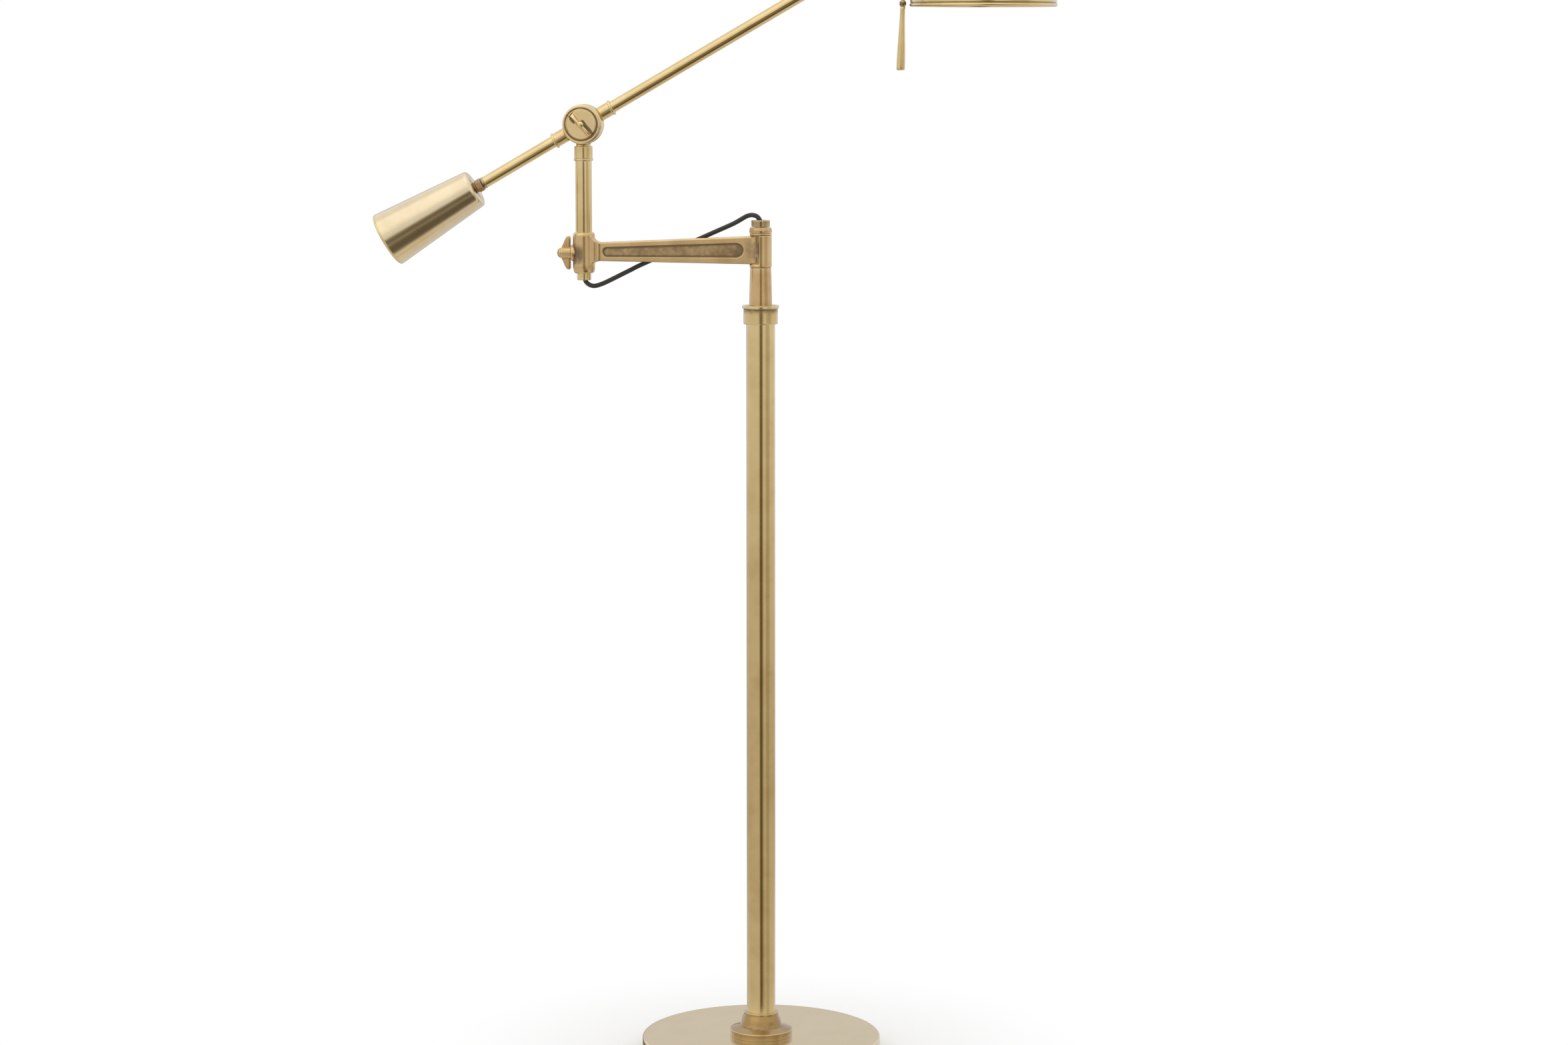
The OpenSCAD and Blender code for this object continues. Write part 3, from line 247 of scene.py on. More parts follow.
def profile(corners, longest=None):
    """Rows (radius, height, wear) of a profile of (radius, height, rounding) corners in mm.

    A corner P whose rounding is c > 0 becomes the parabola (1-t)^2 A + 2t(1-t) P + t^2 B, with
    A and B the points c before and after it. Without a corner on the axis the profile closes
    on itself. Wear is the turn of the line near each row, left less right: above 0 on edges
    that hands polish, below 0 in corners where polish and dirt stay.
    """
    given = np.array([(*corner, 0)[:3] for corner in corners], float)
    point, cut = given[:, :2], given[:, 2]
    closed = point[:, 0].min() > 1e-6
    before, after = np.roll(point, 1, 0), np.roll(point, -1, 0)
    if not closed:
        before[0], after[-1] = point[0], point[-1]
    reach_a, reach_b = (np.linalg.norm(q - point, axis=1) for q in (before, after))
    cut = np.minimum(cut, 0.45 * np.minimum(reach_a, reach_b))
    way_a = (before - point) / np.maximum(reach_a, 1e-9)[:, None]
    way_b = (after - point) / np.maximum(reach_b, 1e-9)[:, None]
    near_a = np.minimum(cut + FLAT_ROW, 0.48 * reach_a)
    near_b = np.minimum(cut + FLAT_ROW, 0.48 * reach_b)
    t = np.linspace(0, 1, CURVE_POINTS)[None, :, None]
    start, end = point + way_a * cut[:, None], point + way_b * cut[:, None]
    bend = (1 - t) ** 2 * start[:, None] + 2 * t * (1 - t) * point[:, None] + t ** 2 * end[:, None]
    row_a, row_b = point + way_a * near_a[:, None], point + way_b * near_b[:, None]
    bend = np.concatenate([row_a[:, None], bend, row_b[:, None]], 1)
    bend[cut < 1e-6] = point[cut < 1e-6][:, None]
    rows = bend.reshape(-1, 2)
    rows = rows[np.r_[True, np.linalg.norm(np.diff(rows, axis=0), axis=1) > 1e-4]]
    if closed and np.linalg.norm(rows[0] - rows[-1]) < 1e-4:
        rows = rows[:-1]
    ring = np.vstack([rows, rows[:1]]) if closed else rows
    if longest:
        gap = np.linalg.norm(np.diff(ring, axis=0), axis=1)
        pieces = np.ceil(gap / longest).astype(int)
        ring = np.vstack([a + (b - a) * s / n for a, b, n in zip(ring, ring[1:], pieces) for s in range(n)]
                         + [ring[-1:]])
    along = np.r_[0, np.cumsum(np.linalg.norm(np.diff(ring, axis=0), axis=1))]
    way = np.diff(ring, axis=0)
    angle = np.unwrap(np.arctan2(way[:, 1], way[:, 0]))
    turn = np.r_[(angle[0] - angle[-1] + 3 * np.pi) % (2 * np.pi) - np.pi if closed else 0,
                 np.diff(angle), 0]
    spread = np.exp(-(np.abs(along[:, None] - along[None]) / WEAR_REACH) ** 1.5) @ turn
    area = np.sum(ring[:-1, 0] * np.roll(ring[:-1, 1], -1) - np.roll(ring[:-1, 0], -1) * ring[:-1, 1])
    wear_and_painted_light = np.clip(spread * (1 if area > 0 else -1), -1, 1)
    if closed:
        ring, wear_and_painted_light = ring[:-1], wear_and_painted_light[:-1]
    return np.column_stack([ring, wear_and_painted_light]), closed


sample = profile([(0, 0), (10, 0, 1), (10, 5, 1), (0, 5)])[0]
print("a disc with two edges of 1 mm rounding has", len(sample), "rows")

# %% [markdown]
# ## Axes, grids and pieces
# Each piece is worked out on its own axis, in millimetres, and then set into the lamp. The axis
# is kept, because the finish needs it too: a turned piece has rings round its axis, a drawn
# tube has streaks along it. A grid of points becomes quads, doubles are merged so that poles
# and seams close, and the faces are turned outwards before anything is shaded.

# %% Axes and surfaces
def axis_at(origin, along):
    """A turning axis: its origin in mm and three unit vectors as rows, the last one along it."""
    w = np.array(along, float) / np.linalg.norm(along)
    u = np.cross((0, 0, 1) if abs(w[1]) > 0.9 else (0, 1, 0), w)
    u /= np.linalg.norm(u)
    return np.array(origin, float), np.stack([u, np.cross(w, u), w])


def surface(name, *grids):
    """One mesh of several grids of points, each (points in metres, wear, columns join, rows join)."""
    points, quads, wears, first = [], [], [], 0
    for grid, wear_and_painted_light, columns_join, rows_join in grids:
        rows, columns = grid.shape[:2]
        i, j = np.meshgrid(np.arange(rows if rows_join else rows - 1),
                           np.arange(columns if columns_join else columns - 1), indexing="ij")
        low, high, j_next = i * columns, (i + 1) % rows * columns, (j + 1) % columns
        quads.append(first + np.stack([low + j, low + j_next, high + j_next, high + j], -1).reshape(-1, 4))
        points.append(grid.reshape(-1, 3))
        wears.append(np.broadcast_to(wear_and_painted_light, (rows, columns)).ravel())
        first += rows * columns
    mesh = bpy.data.meshes.new(name)
    mesh.from_pydata(np.vstack(points).tolist(), [], np.vstack(quads).tolist())
    mesh.attributes.new("wear_and_painted_light", "FLOAT", "POINT").data.foreach_set("value", np.concatenate(wears))
    form = bmesh.new()
    form.from_mesh(mesh)
    bmesh.ops.remove_doubles(form, verts=form.verts, dist=1e-6)
    bmesh.ops.recalc_face_normals(form, faces=form.faces)
    form.to_mesh(mesh)
    form.free()
    mesh.polygons.foreach_set("use_smooth", np.ones(len(mesh.polygons), bool))
    return mesh


def around(corners, axis, sides=96, shape=None, longest=None, stain=None):
    """Grid of a profile turned round an axis: origin + r*(cos a * u + sin a * v) + h * w.

    shape may bend the piece first: it takes and returns the x, y, z arrays on the axis in mm.
    The last option adds painted shade and painted highlights to the wear, where they don't run
    all the way round.
    """
    rows, closed = profile(corners, longest)
    a = np.linspace(0, 2 * np.pi, sides, endpoint=False)
    x, y = rows[:, :1] * np.cos(a), rows[:, :1] * np.sin(a)
    z = np.broadcast_to(rows[:, 1:2], x.shape)
    if shape:
        x, y, z = shape(x, y, z)
    origin, (u, v, w) = axis
    grid = origin + x[..., None] * u + y[..., None] * v + z[..., None] * w
    return grid * MM, rows[:, 2:] + (stain(x, y, z) if stain else 0), True, closed


body_of_node = {node: body for body, nodes in frame["record"]["behaviour"]["bodies"].items()
                for node in nodes}


def piece(name, mesh, material, *nodes):
    """Put a finished mesh in the scene, riding and standing for the frame's nodes."""
    obj = bpy.data.objects.new(name, mesh)
    scene.collection.objects.link(obj)
    mesh.materials.append(material)
    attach(obj, body_of_node[nodes[0]])
    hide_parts(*nodes)
    print(name + ":", len(mesh.polygons), "faces, on", body_of_node[nodes[0]])
    return obj


def turned(name, corners, axis, material, *nodes, **options):
    """A lathe piece in one call."""
    return piece(name, surface(name, around(corners, axis, **options)), material, *nodes)

# %% [markdown]
# ## Satin brass
# The metal is cartridge brass, about two parts copper to one of zinc, brushed satin, toned to
# an antique shade and lacquered. Bare brass would be yellower and shinier. What the eye reads
# is a broad soft reflection with a warm tint, a little cloudiness in patches some 40 mm wide
# where the toning was rubbed back unevenly, brown left in the corners, and lighter edges. The
# lathe and the drawbench leave fine marks: rings round a turned piece, streaks along a tube.
# Real marks are 0.1 mm apart or less, too fine to show, so they are drawn about 1 mm apart.
# One function makes the finish, and the axis that a piece was turned on places its marks.
# A second, plainer one serves enamel, felt, iron and the like: two close colours by a noise.

# %% The satin brass finish
CLOUD_SIZE, RING_GAP, GRAIN_SIZE, WEAR_PATCH = 0.04, 0.0011, 0.0016, 0.006   # in metres
STREAKS_PER_METRE = (900, 900, 9)        # 1.1 mm apart and some 110 mm long


def satin_brass(name, axis, marks="rings", metal="#dcc38a", cloud="#d0b479", patina="#5a4120",
                roughness=0.20):
    """Toned, lacquered brass, its marks set by the piece's own axis.

    Rings follow radius + height, streaks are long and thin along the axis, and a casting has
    an even fine grain instead. The wear attribute browns the corners and lightens the edges; on
    some pieces it also carries painted shade and painted highlights.
    """
    material = bpy.data.materials.new(name)
    material.use_nodes = True
    tree = material.node_tree
    shader = tree.nodes["Principled BSDF"]
    origin, (u, v, w) = axis
    turn = Matrix(np.stack([u, v, w], 1).tolist()).to_euler()
    place = add(tree, "Mapping", {
        "Vector": add(tree, "TexCoord").outputs["Object"], "Location": tuple(origin * MM),
        "Rotation": turn}, vector_type="TEXTURE").outputs[0]
    # Clouds in the toning
    clouds = add(tree, "TexNoise", {"Vector": place, "Scale": 1 / CLOUD_SIZE, "Detail": 3.0,
                                    "Roughness": 0.6})
    cloudy = add(tree, "MapRange", {"Value": clouds.outputs["Fac"], "From Min": 0.35, "From Max": 0.75},
                 interpolation_type="SMOOTHSTEP")
    toned = add(tree, "Mix", {"Factor": cloudy.outputs[0], 6: colour(metal), 7: colour(cloud)},
                data_type="RGBA")
    # Marks of the tool
    if marks == "rings":
        parts = add(tree, "SeparateXYZ", {0: place})
        flat = add(tree, "CombineXYZ", {0: parts.outputs[0], 1: parts.outputs[1]})
        reach = add(tree, "VectorMath", {0: flat.outputs[0]}, operation="LENGTH")
        track = add(tree, "Math", {0: reach.outputs["Value"], 1: parts.outputs[2]}, operation="ADD")
        tool = add(tree, "TexNoise", {"W": track.outputs[0], "Scale": 1 / RING_GAP, "Detail": 2.0},
                   noise_dimensions="1D")
    elif marks == "streaks":
        along = add(tree, "Mapping", {"Vector": place, "Scale": STREAKS_PER_METRE})
        tool = add(tree, "TexNoise", {"Vector": along.outputs[0], "Scale": 1.0, "Detail": 2.0})
    else:
        tool = add(tree, "TexNoise", {"Vector": place, "Scale": 1 / GRAIN_SIZE, "Detail": 3.0})
    # Wear and painted light: brown corners, rubbed edges, and the painted shade and highlights of some
    # pieces
    wear_and_painted_light = add(tree, "Attribute", attribute_name="wear_and_painted_light").outputs["Fac"]
    uneven = add(tree, "TexNoise", {"Vector": place, "Scale": 1 / WEAR_PATCH, "Detail": 4.0})
    ragged = add(tree, "Math", {0: uneven.outputs["Fac"], 1: 0.45, 2: wear_and_painted_light}, operation="MULTIPLY_ADD")
    patina_and_painted_shade = add(tree, "MapRange", {"Value": ragged.outputs[0], "From Min": 0.12, "From Max": -0.42,
                                   "To Min": 0.0, "To Max": 0.85}, interpolation_type="SMOOTHSTEP")
    rubbed_and_painted_highlight = add(tree, "MapRange", {"Value": ragged.outputs[0], "From Min": 0.45, "From Max": 1.2,
                                    "To Min": 0.0, "To Max": 0.35}, interpolation_type="SMOOTHSTEP")
    patina_and_painted_shade_mix = add(tree, "Mix", {"Factor": patina_and_painted_shade.outputs[0], 6: toned.outputs["Result"], 7: colour(patina)},
                  data_type="RGBA", clamp_result=False)
    edged_and_painted_highlight = add(tree, "Mix", {"Factor": rubbed_and_painted_highlight.outputs[0], 6: patina_and_painted_shade_mix.outputs["Result"],
                              7: colour("#ead6a4")}, data_type="RGBA")
    satin = add(tree, "Math", {0: tool.outputs["Fac"], 1: 0.03, 2: roughness - 0.015},
                operation="MULTIPLY_ADD")
    dull = add(tree, "Math", {0: patina_and_painted_shade.outputs[0], 1: 0.22, 2: satin.outputs[0]}, operation="MULTIPLY_ADD")
    depth = 0.025 if marks == "grain" else 0.03
    grain = add(tree, "Bump", {"Height": tool.outputs["Fac"], "Strength": depth, "Distance": 0.0002})
    tree.links.new(edged_and_painted_highlight.outputs["Result"], shader.inputs["Base Color"])
    tree.links.new(dull.outputs[0], shader.inputs["Roughness"])
    tree.links.new(grain.outputs[0], shader.inputs["Normal"])
    shader.inputs["Metallic"].default_value = 1.0
    shader.inputs["Coat Weight"].default_value = 1.0       # the lacquer
    shader.inputs["Coat Roughness"].default_value = 0.12
    return material


def plain_finish(name, light, dark, grain_mm, roughness, bump, metallic=0.0, coat=0.0):
    """A finish of two close colours mixed by a noise of a real grain size, with its bump."""
    material = bpy.data.materials.new(name)
    material.use_nodes = True
    tree = material.node_tree
    shader = tree.nodes["Principled BSDF"]
    place = add(tree, "TexCoord").outputs["Object"]
    grain = add(tree, "TexNoise", {"Vector": place, "Scale": 1000 / grain_mm, "Detail": 5.0})
    mixed = add(tree, "Mix", {"Factor": grain.outputs["Fac"], 6: colour(dark), 7: colour(light)},
                data_type="RGBA")
    rough = add(tree, "Math", {0: grain.outputs["Fac"], 1: 0.12, 2: roughness - 0.06},
                operation="MULTIPLY_ADD")
    relief = add(tree, "Bump", {"Height": grain.outputs["Fac"], "Strength": bump, "Distance": 0.0005})
    tree.links.new(mixed.outputs["Result"], shader.inputs["Base Color"])
    tree.links.new(rough.outputs[0], shader.inputs["Roughness"])
    tree.links.new(relief.outputs[0], shader.inputs["Normal"])
    shader.inputs["Metallic"].default_value = metallic
    shader.inputs["Coat Weight"].default_value = coat
    return material


COLUMN_AXIS = axis_at((0, 0, 0), (0, 0, 1))
turned_on_column = satin_brass("turned_satin_brass_column", COLUMN_AXIS)
drawn_on_column = satin_brass("drawn_satin_brass_column", COLUMN_AXIS, "streaks", roughness=0.16)
# The base is a paler, greyer copy of the brass, a painted reflection on its top; the flange is
# a darker copy, painted shade; the fittings at the arm were toned deeper and never rubbed back
base_painted_pale = satin_brass("spun_brass_base_painted_pale", COLUMN_AXIS, metal="#e0cda4", cloud="#dcc89d")
flange_painted_darker = satin_brass("brass_flange_painted_darker", COLUMN_AXIS, metal="#a28044", cloud="#8d6d39")
toned_fittings = satin_brass("deep_toned_brass_fittings", COLUMN_AXIS, metal="#cdac75", cloud="#b8955f")
toned_nut = satin_brass("deep_toned_brass_nut", COLUMN_AXIS, metal="#b3946a", cloud="#9f7f55")
enamel = plain_finish("white_vitreous_enamel", "#f1efe8", "#eae7de", 14, 0.25, 0.02, coat=0.4)
print("brass finishes on the column's axis, and white enamel")

# %% [markdown]
# ## The base
# The base is a thin brass cover, spun or pressed over a cast iron disc 305 mm across, with felt
# under it. Its top is flat, turned with a broad satin sweep, and its edge has a 3 mm round that
# draws the bright line along the front. A flange sits on the middle: an upright rim, a low
# slope, and a bell whose sides draw in to meet the column. All of it is turned on the column's axis.

# %% Turn the base and its flange
BASE_R, BASE_TOP, COVER_SHEET = 152.5, 25.0, 1.2
TIE_BORE = 5.1
COLUMN_R, COLUMN_WALL = 18.1, 1.5
FIT = 0.02        # between a piece and the one that it sits on
FLANGE_TOP, BELL_TOP, BELL_LIP = 37.0, 52.4, 55.4
turned("base_cover", [
    (TIE_BORE, BASE_TOP - COVER_SHEET), (TIE_BORE, BASE_TOP, 0.3), (BASE_R, BASE_TOP, 3.2),
    (BASE_R, 1.5, 0.4), (BASE_R - COVER_SHEET, 1.5, 0.3),
    (BASE_R - COVER_SHEET, BASE_TOP - COVER_SHEET, 1.8)
], COLUMN_AXIS, base_painted_pale, "base_shell", sides=192, longest=6)
turned("turned_base_flange", [
    (TIE_BORE, BASE_TOP), (40, BASE_TOP, 0.5), (40, 33.4, 0.8), (37.6, FLANGE_TOP - 2.6, 1.2),
    (28.4, FLANGE_TOP + 0.8, 1.6), (26.4, FLANGE_TOP + 3.6, 1.8), (24.6, FLANGE_TOP + 9.6, 2.5),
    (21.9, BELL_LIP - 2.6, 1.0), (21.6, BELL_LIP, 0.5), (COLUMN_R + FIT, BELL_LIP, 0.3),
    (COLUMN_R + FIT, BELL_TOP), (TIE_BORE, BELL_TOP)
], COLUMN_AXIS, flange_painted_darker, "base_flange", sides=128)

# %% [markdown]
# ## The column
# The column is a drawn tube of 36 mm, nearly 0.9 m long, between the bell and a turned collar.
# The collar's lip stands proud of it, and above it a spigot tapers up to the arm's hub: it is
# the post that the arm swings on. A ring and a round nut hold the arm down. The nut's top is
# dished, because the lead comes out of it.

# %% Draw the column and turn its fittings
COLLAR_Z = BELL_TOP + 888.4
LIP_Z, SPIGOT_Z = COLLAR_Z + 19.5, COLLAR_Z + 23.4
SHOULDER_Z = SPIGOT_Z + 47.2
HUB_Z = SHOULDER_Z + 0.85
HUB_TOP = HUB_Z + 42.2
RING_TOP = HUB_TOP + 7.4
NUT_Z = RING_TOP + 0.9
NUT_TOP = NUT_Z + 8.3
turned("column", [
    (COLUMN_R - COLUMN_WALL, BELL_TOP, 0.3), (COLUMN_R, BELL_TOP, 0.4), (COLUMN_R, COLLAR_Z + 16, 0.4),
    (COLUMN_R - COLUMN_WALL, COLLAR_Z + 16, 0.3)
], COLUMN_AXIS, drawn_on_column, "column_tube", sides=160, longest=60)
turned("turned_column_collar", [
    (COLUMN_R + FIT, COLLAR_Z + 16), (COLUMN_R + FIT, COLLAR_Z, 0.2), (21.55, COLLAR_Z, 1.1),
    (21.55, LIP_Z - 0.5, 0.3), (22.2, LIP_Z + 0.1, 0.2), (23.1, LIP_Z + 0.2, 0.9), (23.1, SPIGOT_Z, 0.9),
    (12.05, SPIGOT_Z), (12.05, COLLAR_Z + 16)
], COLUMN_AXIS, turned_on_column, "column_collar", sides=128)
turned("turned_spigot", [
    (3.6, SPIGOT_Z - 12), (12, SPIGOT_Z - 12, 0.4), (12, SPIGOT_Z), (14.5, SPIGOT_Z, 0.2),
    (14.5, SPIGOT_Z + 2.2, 0.8), (13.25, SHOULDER_Z, 0.5), (6, SHOULDER_Z), (6, NUT_Z + 3, 0.3),
    (3.6, NUT_Z + 3, 0.2)
], COLUMN_AXIS, toned_fittings, "column_spigot", sides=128, longest=12)
turned("arm_ring", [
    (6.05, HUB_TOP + 0.6), (14.35, HUB_TOP + 0.6, 1.2), (14.35, HUB_TOP + 4.2, 1.0),
    (13.6, RING_TOP - 1.2, 0.6), (13.6, RING_TOP, 1.0), (6.05, RING_TOP)
], COLUMN_AXIS, toned_fittings, "hub_ring", sides=128)
DISH_R = 5.3
dish = [(8.9 - DISH_R * math.sin(a), NUT_TOP - DISH_R * (1 - math.cos(a)))
        for a in np.radians([15, 30, 45, 60, 75, 90]).tolist()]
turned("dished_top_nut", [
    (6.02, NUT_Z), (11.8, NUT_Z, 0.8), (11.8, NUT_TOP, 1.2), (8.9, NUT_TOP, 0.3), *dish, (3.6, NUT_Z + 3),
    (6.02, NUT_Z + 3)
], COLUMN_AXIS, toned_nut, "top_nut", sides=128)
print("column from", BELL_TOP, "to", round(NUT_TOP, 2), "mm")

# %% [markdown]
# ## The swing arm
# The arm is one brass casting: a hub that swings on the spigot, a web with a sunk panel on
# each face, and a clamp for the stem. The web could be a box with bevels, but its beauty is in
# how it flows into the hub and the clamp. So it is lofted: for each station along the arm the
# web has a top, a bottom and a half thickness, and these flare where it meets the round parts.
# Round each station runs a rectangle with softened corners, and where a point lies inside the
# panel's outline it is pressed in. The panel was left brown by the toning, and painted shadow
# darkens its walls.

# %% Loft the web
ARM = 223.4                # from the column's axis to the stem's
ARM_MID = HUB_Z + 21.3
CLAMP_DROP = 3.2           # from the hub's middle down to the clamp's
CLAMP_MID = ARM_MID - CLAMP_DROP
CLAMP_Z, CLAMP_TOP = CLAMP_MID - 26.9, CLAMP_MID + 24.7
STEM_AXIS = axis_at((-ARM, 0, 0), (0, 0, 1))
WEB_HALF, HUB_HALF, CLAMP_HALF = 5.8, 17.9, 11.7
FLARE_X, FLARE_LEN = ARM - 23, 12.1
EDGE = 1.1                 # rounding of the web's long edges
PANEL_DEPTH, PANEL_START, PANEL_END = 1.6, 21.1, ARM - 24


def smooth_step(value, low, high):
    """0 below low, 1 above high, and 3t^2 - 2t^3 between."""
    t = np.clip((value - low) / (high - low), 0, 1)
    return t * t * (3 - 2 * t)


def quarter(t):
    """A quarter ellipse that leaves level at t = 0 and ends upright at t = 1: 1 - sqrt(1 - t^2)."""
    return 1 - np.sqrt(np.clip(1 - np.clip(t, 0, 1) ** 2, 0, 1))


def spaced(runs, digits):
    """Rising numbers from several runs, each (first, last, how many), with doubles dropped."""
    return np.unique(np.round(np.concatenate([np.linspace(*run) for run in runs]), digits))


def section(bottom, top):
    """Points round each station: up the front face, over the top, down the back and under.

    Returns their height, how far the softened edges draw them in, and their side, -1 in front.
    """
    rise = spaced([(0, 0.1, 4), (0.1, 0.42, 26), (0.42, 0.58, 6), (0.58, 0.9, 26), (0.9, 1, 4)], 4)
    curve = np.array([(0.0, 1.0), (0.12, 0.62), (0.38, 0.3), (0.62, 0.12), (1.0, 0.0)])
    drop, draw = EDGE * (1 - curve.T)
    face = bottom + EDGE + (top - bottom - 2 * EDGE) * rise
    over, under = top - drop, bottom + drop[::-1]
    z = np.hstack([face, over, over[:, ::-1], face[:, ::-1], under, under[:, ::-1]])
    flat = np.zeros(len(rise))
    inset = np.concatenate([flat, draw, draw[::-1], flat, draw[::-1], draw])
    n, m = len(rise), len(draw)
    return z, inset, np.repeat([-1.0, 1.0, -1.0], [n + m, m + n + m, m])


def panel_distance(x, z):
    """Distance to the panel's outline, below 0 inside: a slot between a large and a small circle.

    It is the least of distance minus radius along the line between their centres.
    """
    r1, r2 = HUB_HALF - 8.6, CLAMP_HALF - 5.4
    x1, z1 = PANEL_START + r1, ARM_MID - CLAMP_DROP * PANEL_START / ARM
    x2, z2 = PANEL_END - r2, CLAMP_MID
    dx, dz = x2 - x1, z2 - z1
    t = np.clip(((x - x1) * dx + (z - z1) * dz) / (dx ** 2 + dz ** 2), 0, 1)
    return np.hypot(x - x1 - t * dx, z - z1 - t * dz) - (r1 + (r2 - r1) * t)


def web_grid():
    """Stations along the arm by points round each station's softened rectangle.

    Top and bottom run straight from hub to clamp and flare in a quarter ellipse at the clamp.
    The half thickness is 5.8 mm, and grows as a quarter ellipse into the hub's round, longest at
    mid height, and again into the clamp. The panel is pressed in, and its walls are a soft step.
    """
    x = spaced([(0, 14, 40), (14, 48, 76), (48, 178, 90), (178, 208, 66), (208, ARM - 5, 34)], 3)[:, None]
    middle = ARM_MID - CLAMP_DROP * (x / ARM)
    half = np.maximum(CLAMP_HALF, HUB_HALF + (CLAMP_HALF - HUB_HALF) * x / FLARE_X)
    flare = quarter((x - FLARE_X) / FLARE_LEN)
    bottom = middle - half - flare * (CLAMP_MID - CLAMP_HALF - CLAMP_Z - 9)
    top = middle + half + flare * (CLAMP_TOP - 3 - CLAMP_MID - CLAMP_HALF)
    z, inset, side = section(bottom, top)
    x = np.broadcast_to(x, z.shape)
    level = (z - middle) / HUB_HALF
    hub_reach = 12.6 * (0.66 + 0.34 * np.sqrt(np.clip(1 - level ** 2, 0, 1)))
    hub_fillet, clamp_fillet = quarter(1 - x / hub_reach), quarter((x - (ARM - 22)) / 8)
    thick = WEB_HALF + (14 - WEB_HALF) * hub_fillet + (10.9 - WEB_HALF) * clamp_fillet - inset
    distance, on_face = panel_distance(x, z), inset < 1e-6
    thick = thick - PANEL_DEPTH * on_face * (1 - smooth_step(distance, -0.7, 0.35))
    # Wear and painted shade: a bright rim round the panel, brown patina in it, painted shadow
    # along its walls, bright long edges, and painted shade beside the hub
    rim = 0.25 * np.exp(-((distance - 0.6) / 0.6) ** 2)
    walls = 0.45 * np.exp(-((distance + 0.7) / 1.6) ** 2)
    wear_and_painted_light = on_face * (rim - walls - 0.46 * smooth_step(-distance, 0, 0.8))
    wear_and_painted_light = wear_and_painted_light + 0.3 * np.exp(-((inset - 0.4) / 0.35) ** 2)
    wear_and_painted_light = wear_and_painted_light - 0.6 * np.exp(-(x / 22.0) ** 2) * np.clip(1 - 0.7 * level ** 2, 0, 1)
    # Neither end reaches into the bore of the clamp or of the hub
    y = side * thick
    x = np.minimum(x, ARM - np.sqrt(np.clip(12.2 ** 2 - y ** 2, 0, None)))
    x = np.maximum(x, np.sqrt(np.clip(8.6 ** 2 - y ** 2, 0, None)))
    return np.stack([-x, y, z], -1) * MM, wear_and_painted_light, True, False


def end_cap(grid, row):
    """Close one end of the loft: its outline drawn in to the outline's own middle, in three steps."""
    ring = grid[0][row]
    centre = ring.mean(0)
    steps = np.linspace(0, 1, 4)[:, None, None]
    return ring[None] + (centre - ring)[None] * steps, np.zeros((4, 1)), True, False


print("web:", web_grid()[0].shape[:2], "stations by points")

# %% [markdown]
# The hub is turned, then scooped away on the arm's side so that the web's fillets can run out
# into it. The clamp is turned too, narrower at both ends, with a small boss that holds the
# screw. All four shapes overlap a little and make one piece.

# %% Add the hub, the clamp and its boss
def scooped(x, y, z):
    """Draw the hub's radius in by 5 mm towards -x, between the web's top and bottom."""
    r = np.hypot(x, y)
    depth = 5 * smooth_step(-x / np.maximum(r, 1e-6), 0.0, 0.14)
    depth = depth * (1 - smooth_step(np.abs(z - ARM_MID), HUB_HALF - 1.6, HUB_HALF + 0.4))
    new = np.where(r > 12, r - depth, r)
    return x * new / np.maximum(r, 1e-6), y * new / np.maximum(r, 1e-6), z


def painted_shade_in_scoop(x, y, z):
    """Painted shade where the hub is scooped: -0.5, fading over the scoop's edges."""
    level = 1 - smooth_step(np.abs(z - ARM_MID), HUB_HALF - 2, HUB_HALF + 1)
    return -0.5 * level * smooth_step(-x / np.hypot(x, y), -0.05, 0.2)


def painted_shadow_round_boss(x, y, z):
    """Painted shadow round the clamp's boss: -0.8 * exp(-(distance from just below its middle / 17)^4)."""
    away = np.hypot(y, z - (CLAMP_MID - 3))
    return np.where(x < 0, -0.8 * np.exp(-(away / 17) ** 4), -0.08)


cast_brass = satin_brass("cast_satin_brass_arm", COLUMN_AXIS, "grain", metal="#d6b782", cloud="#c4a26b",
                         roughness=0.24)
web = web_grid()
hub = around([
    (7.9, HUB_Z), (14, HUB_Z, 1.2), (14, HUB_TOP - 3.2, 0.5), (13.4, HUB_TOP - 2.6, 0.4),
    (13.4, HUB_TOP - 1.9, 0.4), (14, HUB_TOP - 1.3, 0.5), (14, HUB_TOP, 0.9), (12.5, HUB_TOP),
    (12.5, HUB_TOP + 0.6, 0.1), (7.9, HUB_TOP + 0.6)
], COLUMN_AXIS, sides=160, shape=scooped, longest=0.8, stain=painted_shade_in_scoop)
clamp = around([
    (10.55, CLAMP_Z), (10.9, CLAMP_Z, 0.2), *oval((11.7, CLAMP_Z + 11), 2.25, 10.4, -86, 0),
    *oval((11.7, CLAMP_TOP - 5), 2.25, 4.4, 0, 86), (10.9, CLAMP_TOP, 0.2), (10.55, CLAMP_TOP)
], STEM_AXIS, sides=128, longest=2, stain=painted_shadow_round_boss)
BOSS_FACE = 15.95
SCREW_Z = CLAMP_MID - 1.4
SCREW_AXIS = axis_at((-ARM - BOSS_FACE, 0, SCREW_Z), (1, 0, 0))
# The boss is darkened all over as painted shade.
boss = around([(3.05, 0), (10.4, 0, 1.6), (10.4, 4.9), (3.05, 4.9)],
              SCREW_AXIS, sides=96,
              shape=lambda x, y, z: (x, y, np.where(z > 2.5, BOSS_FACE - np.sqrt(13.2 ** 2 - y ** 2), z)),
              stain=lambda x, y, z: np.full_like(x, -0.5))
piece("swing_arm", surface("swing_arm", web, end_cap(web, 0), end_cap(web, -1), hub, clamp, boss),
      cast_brass, "arm_casting")

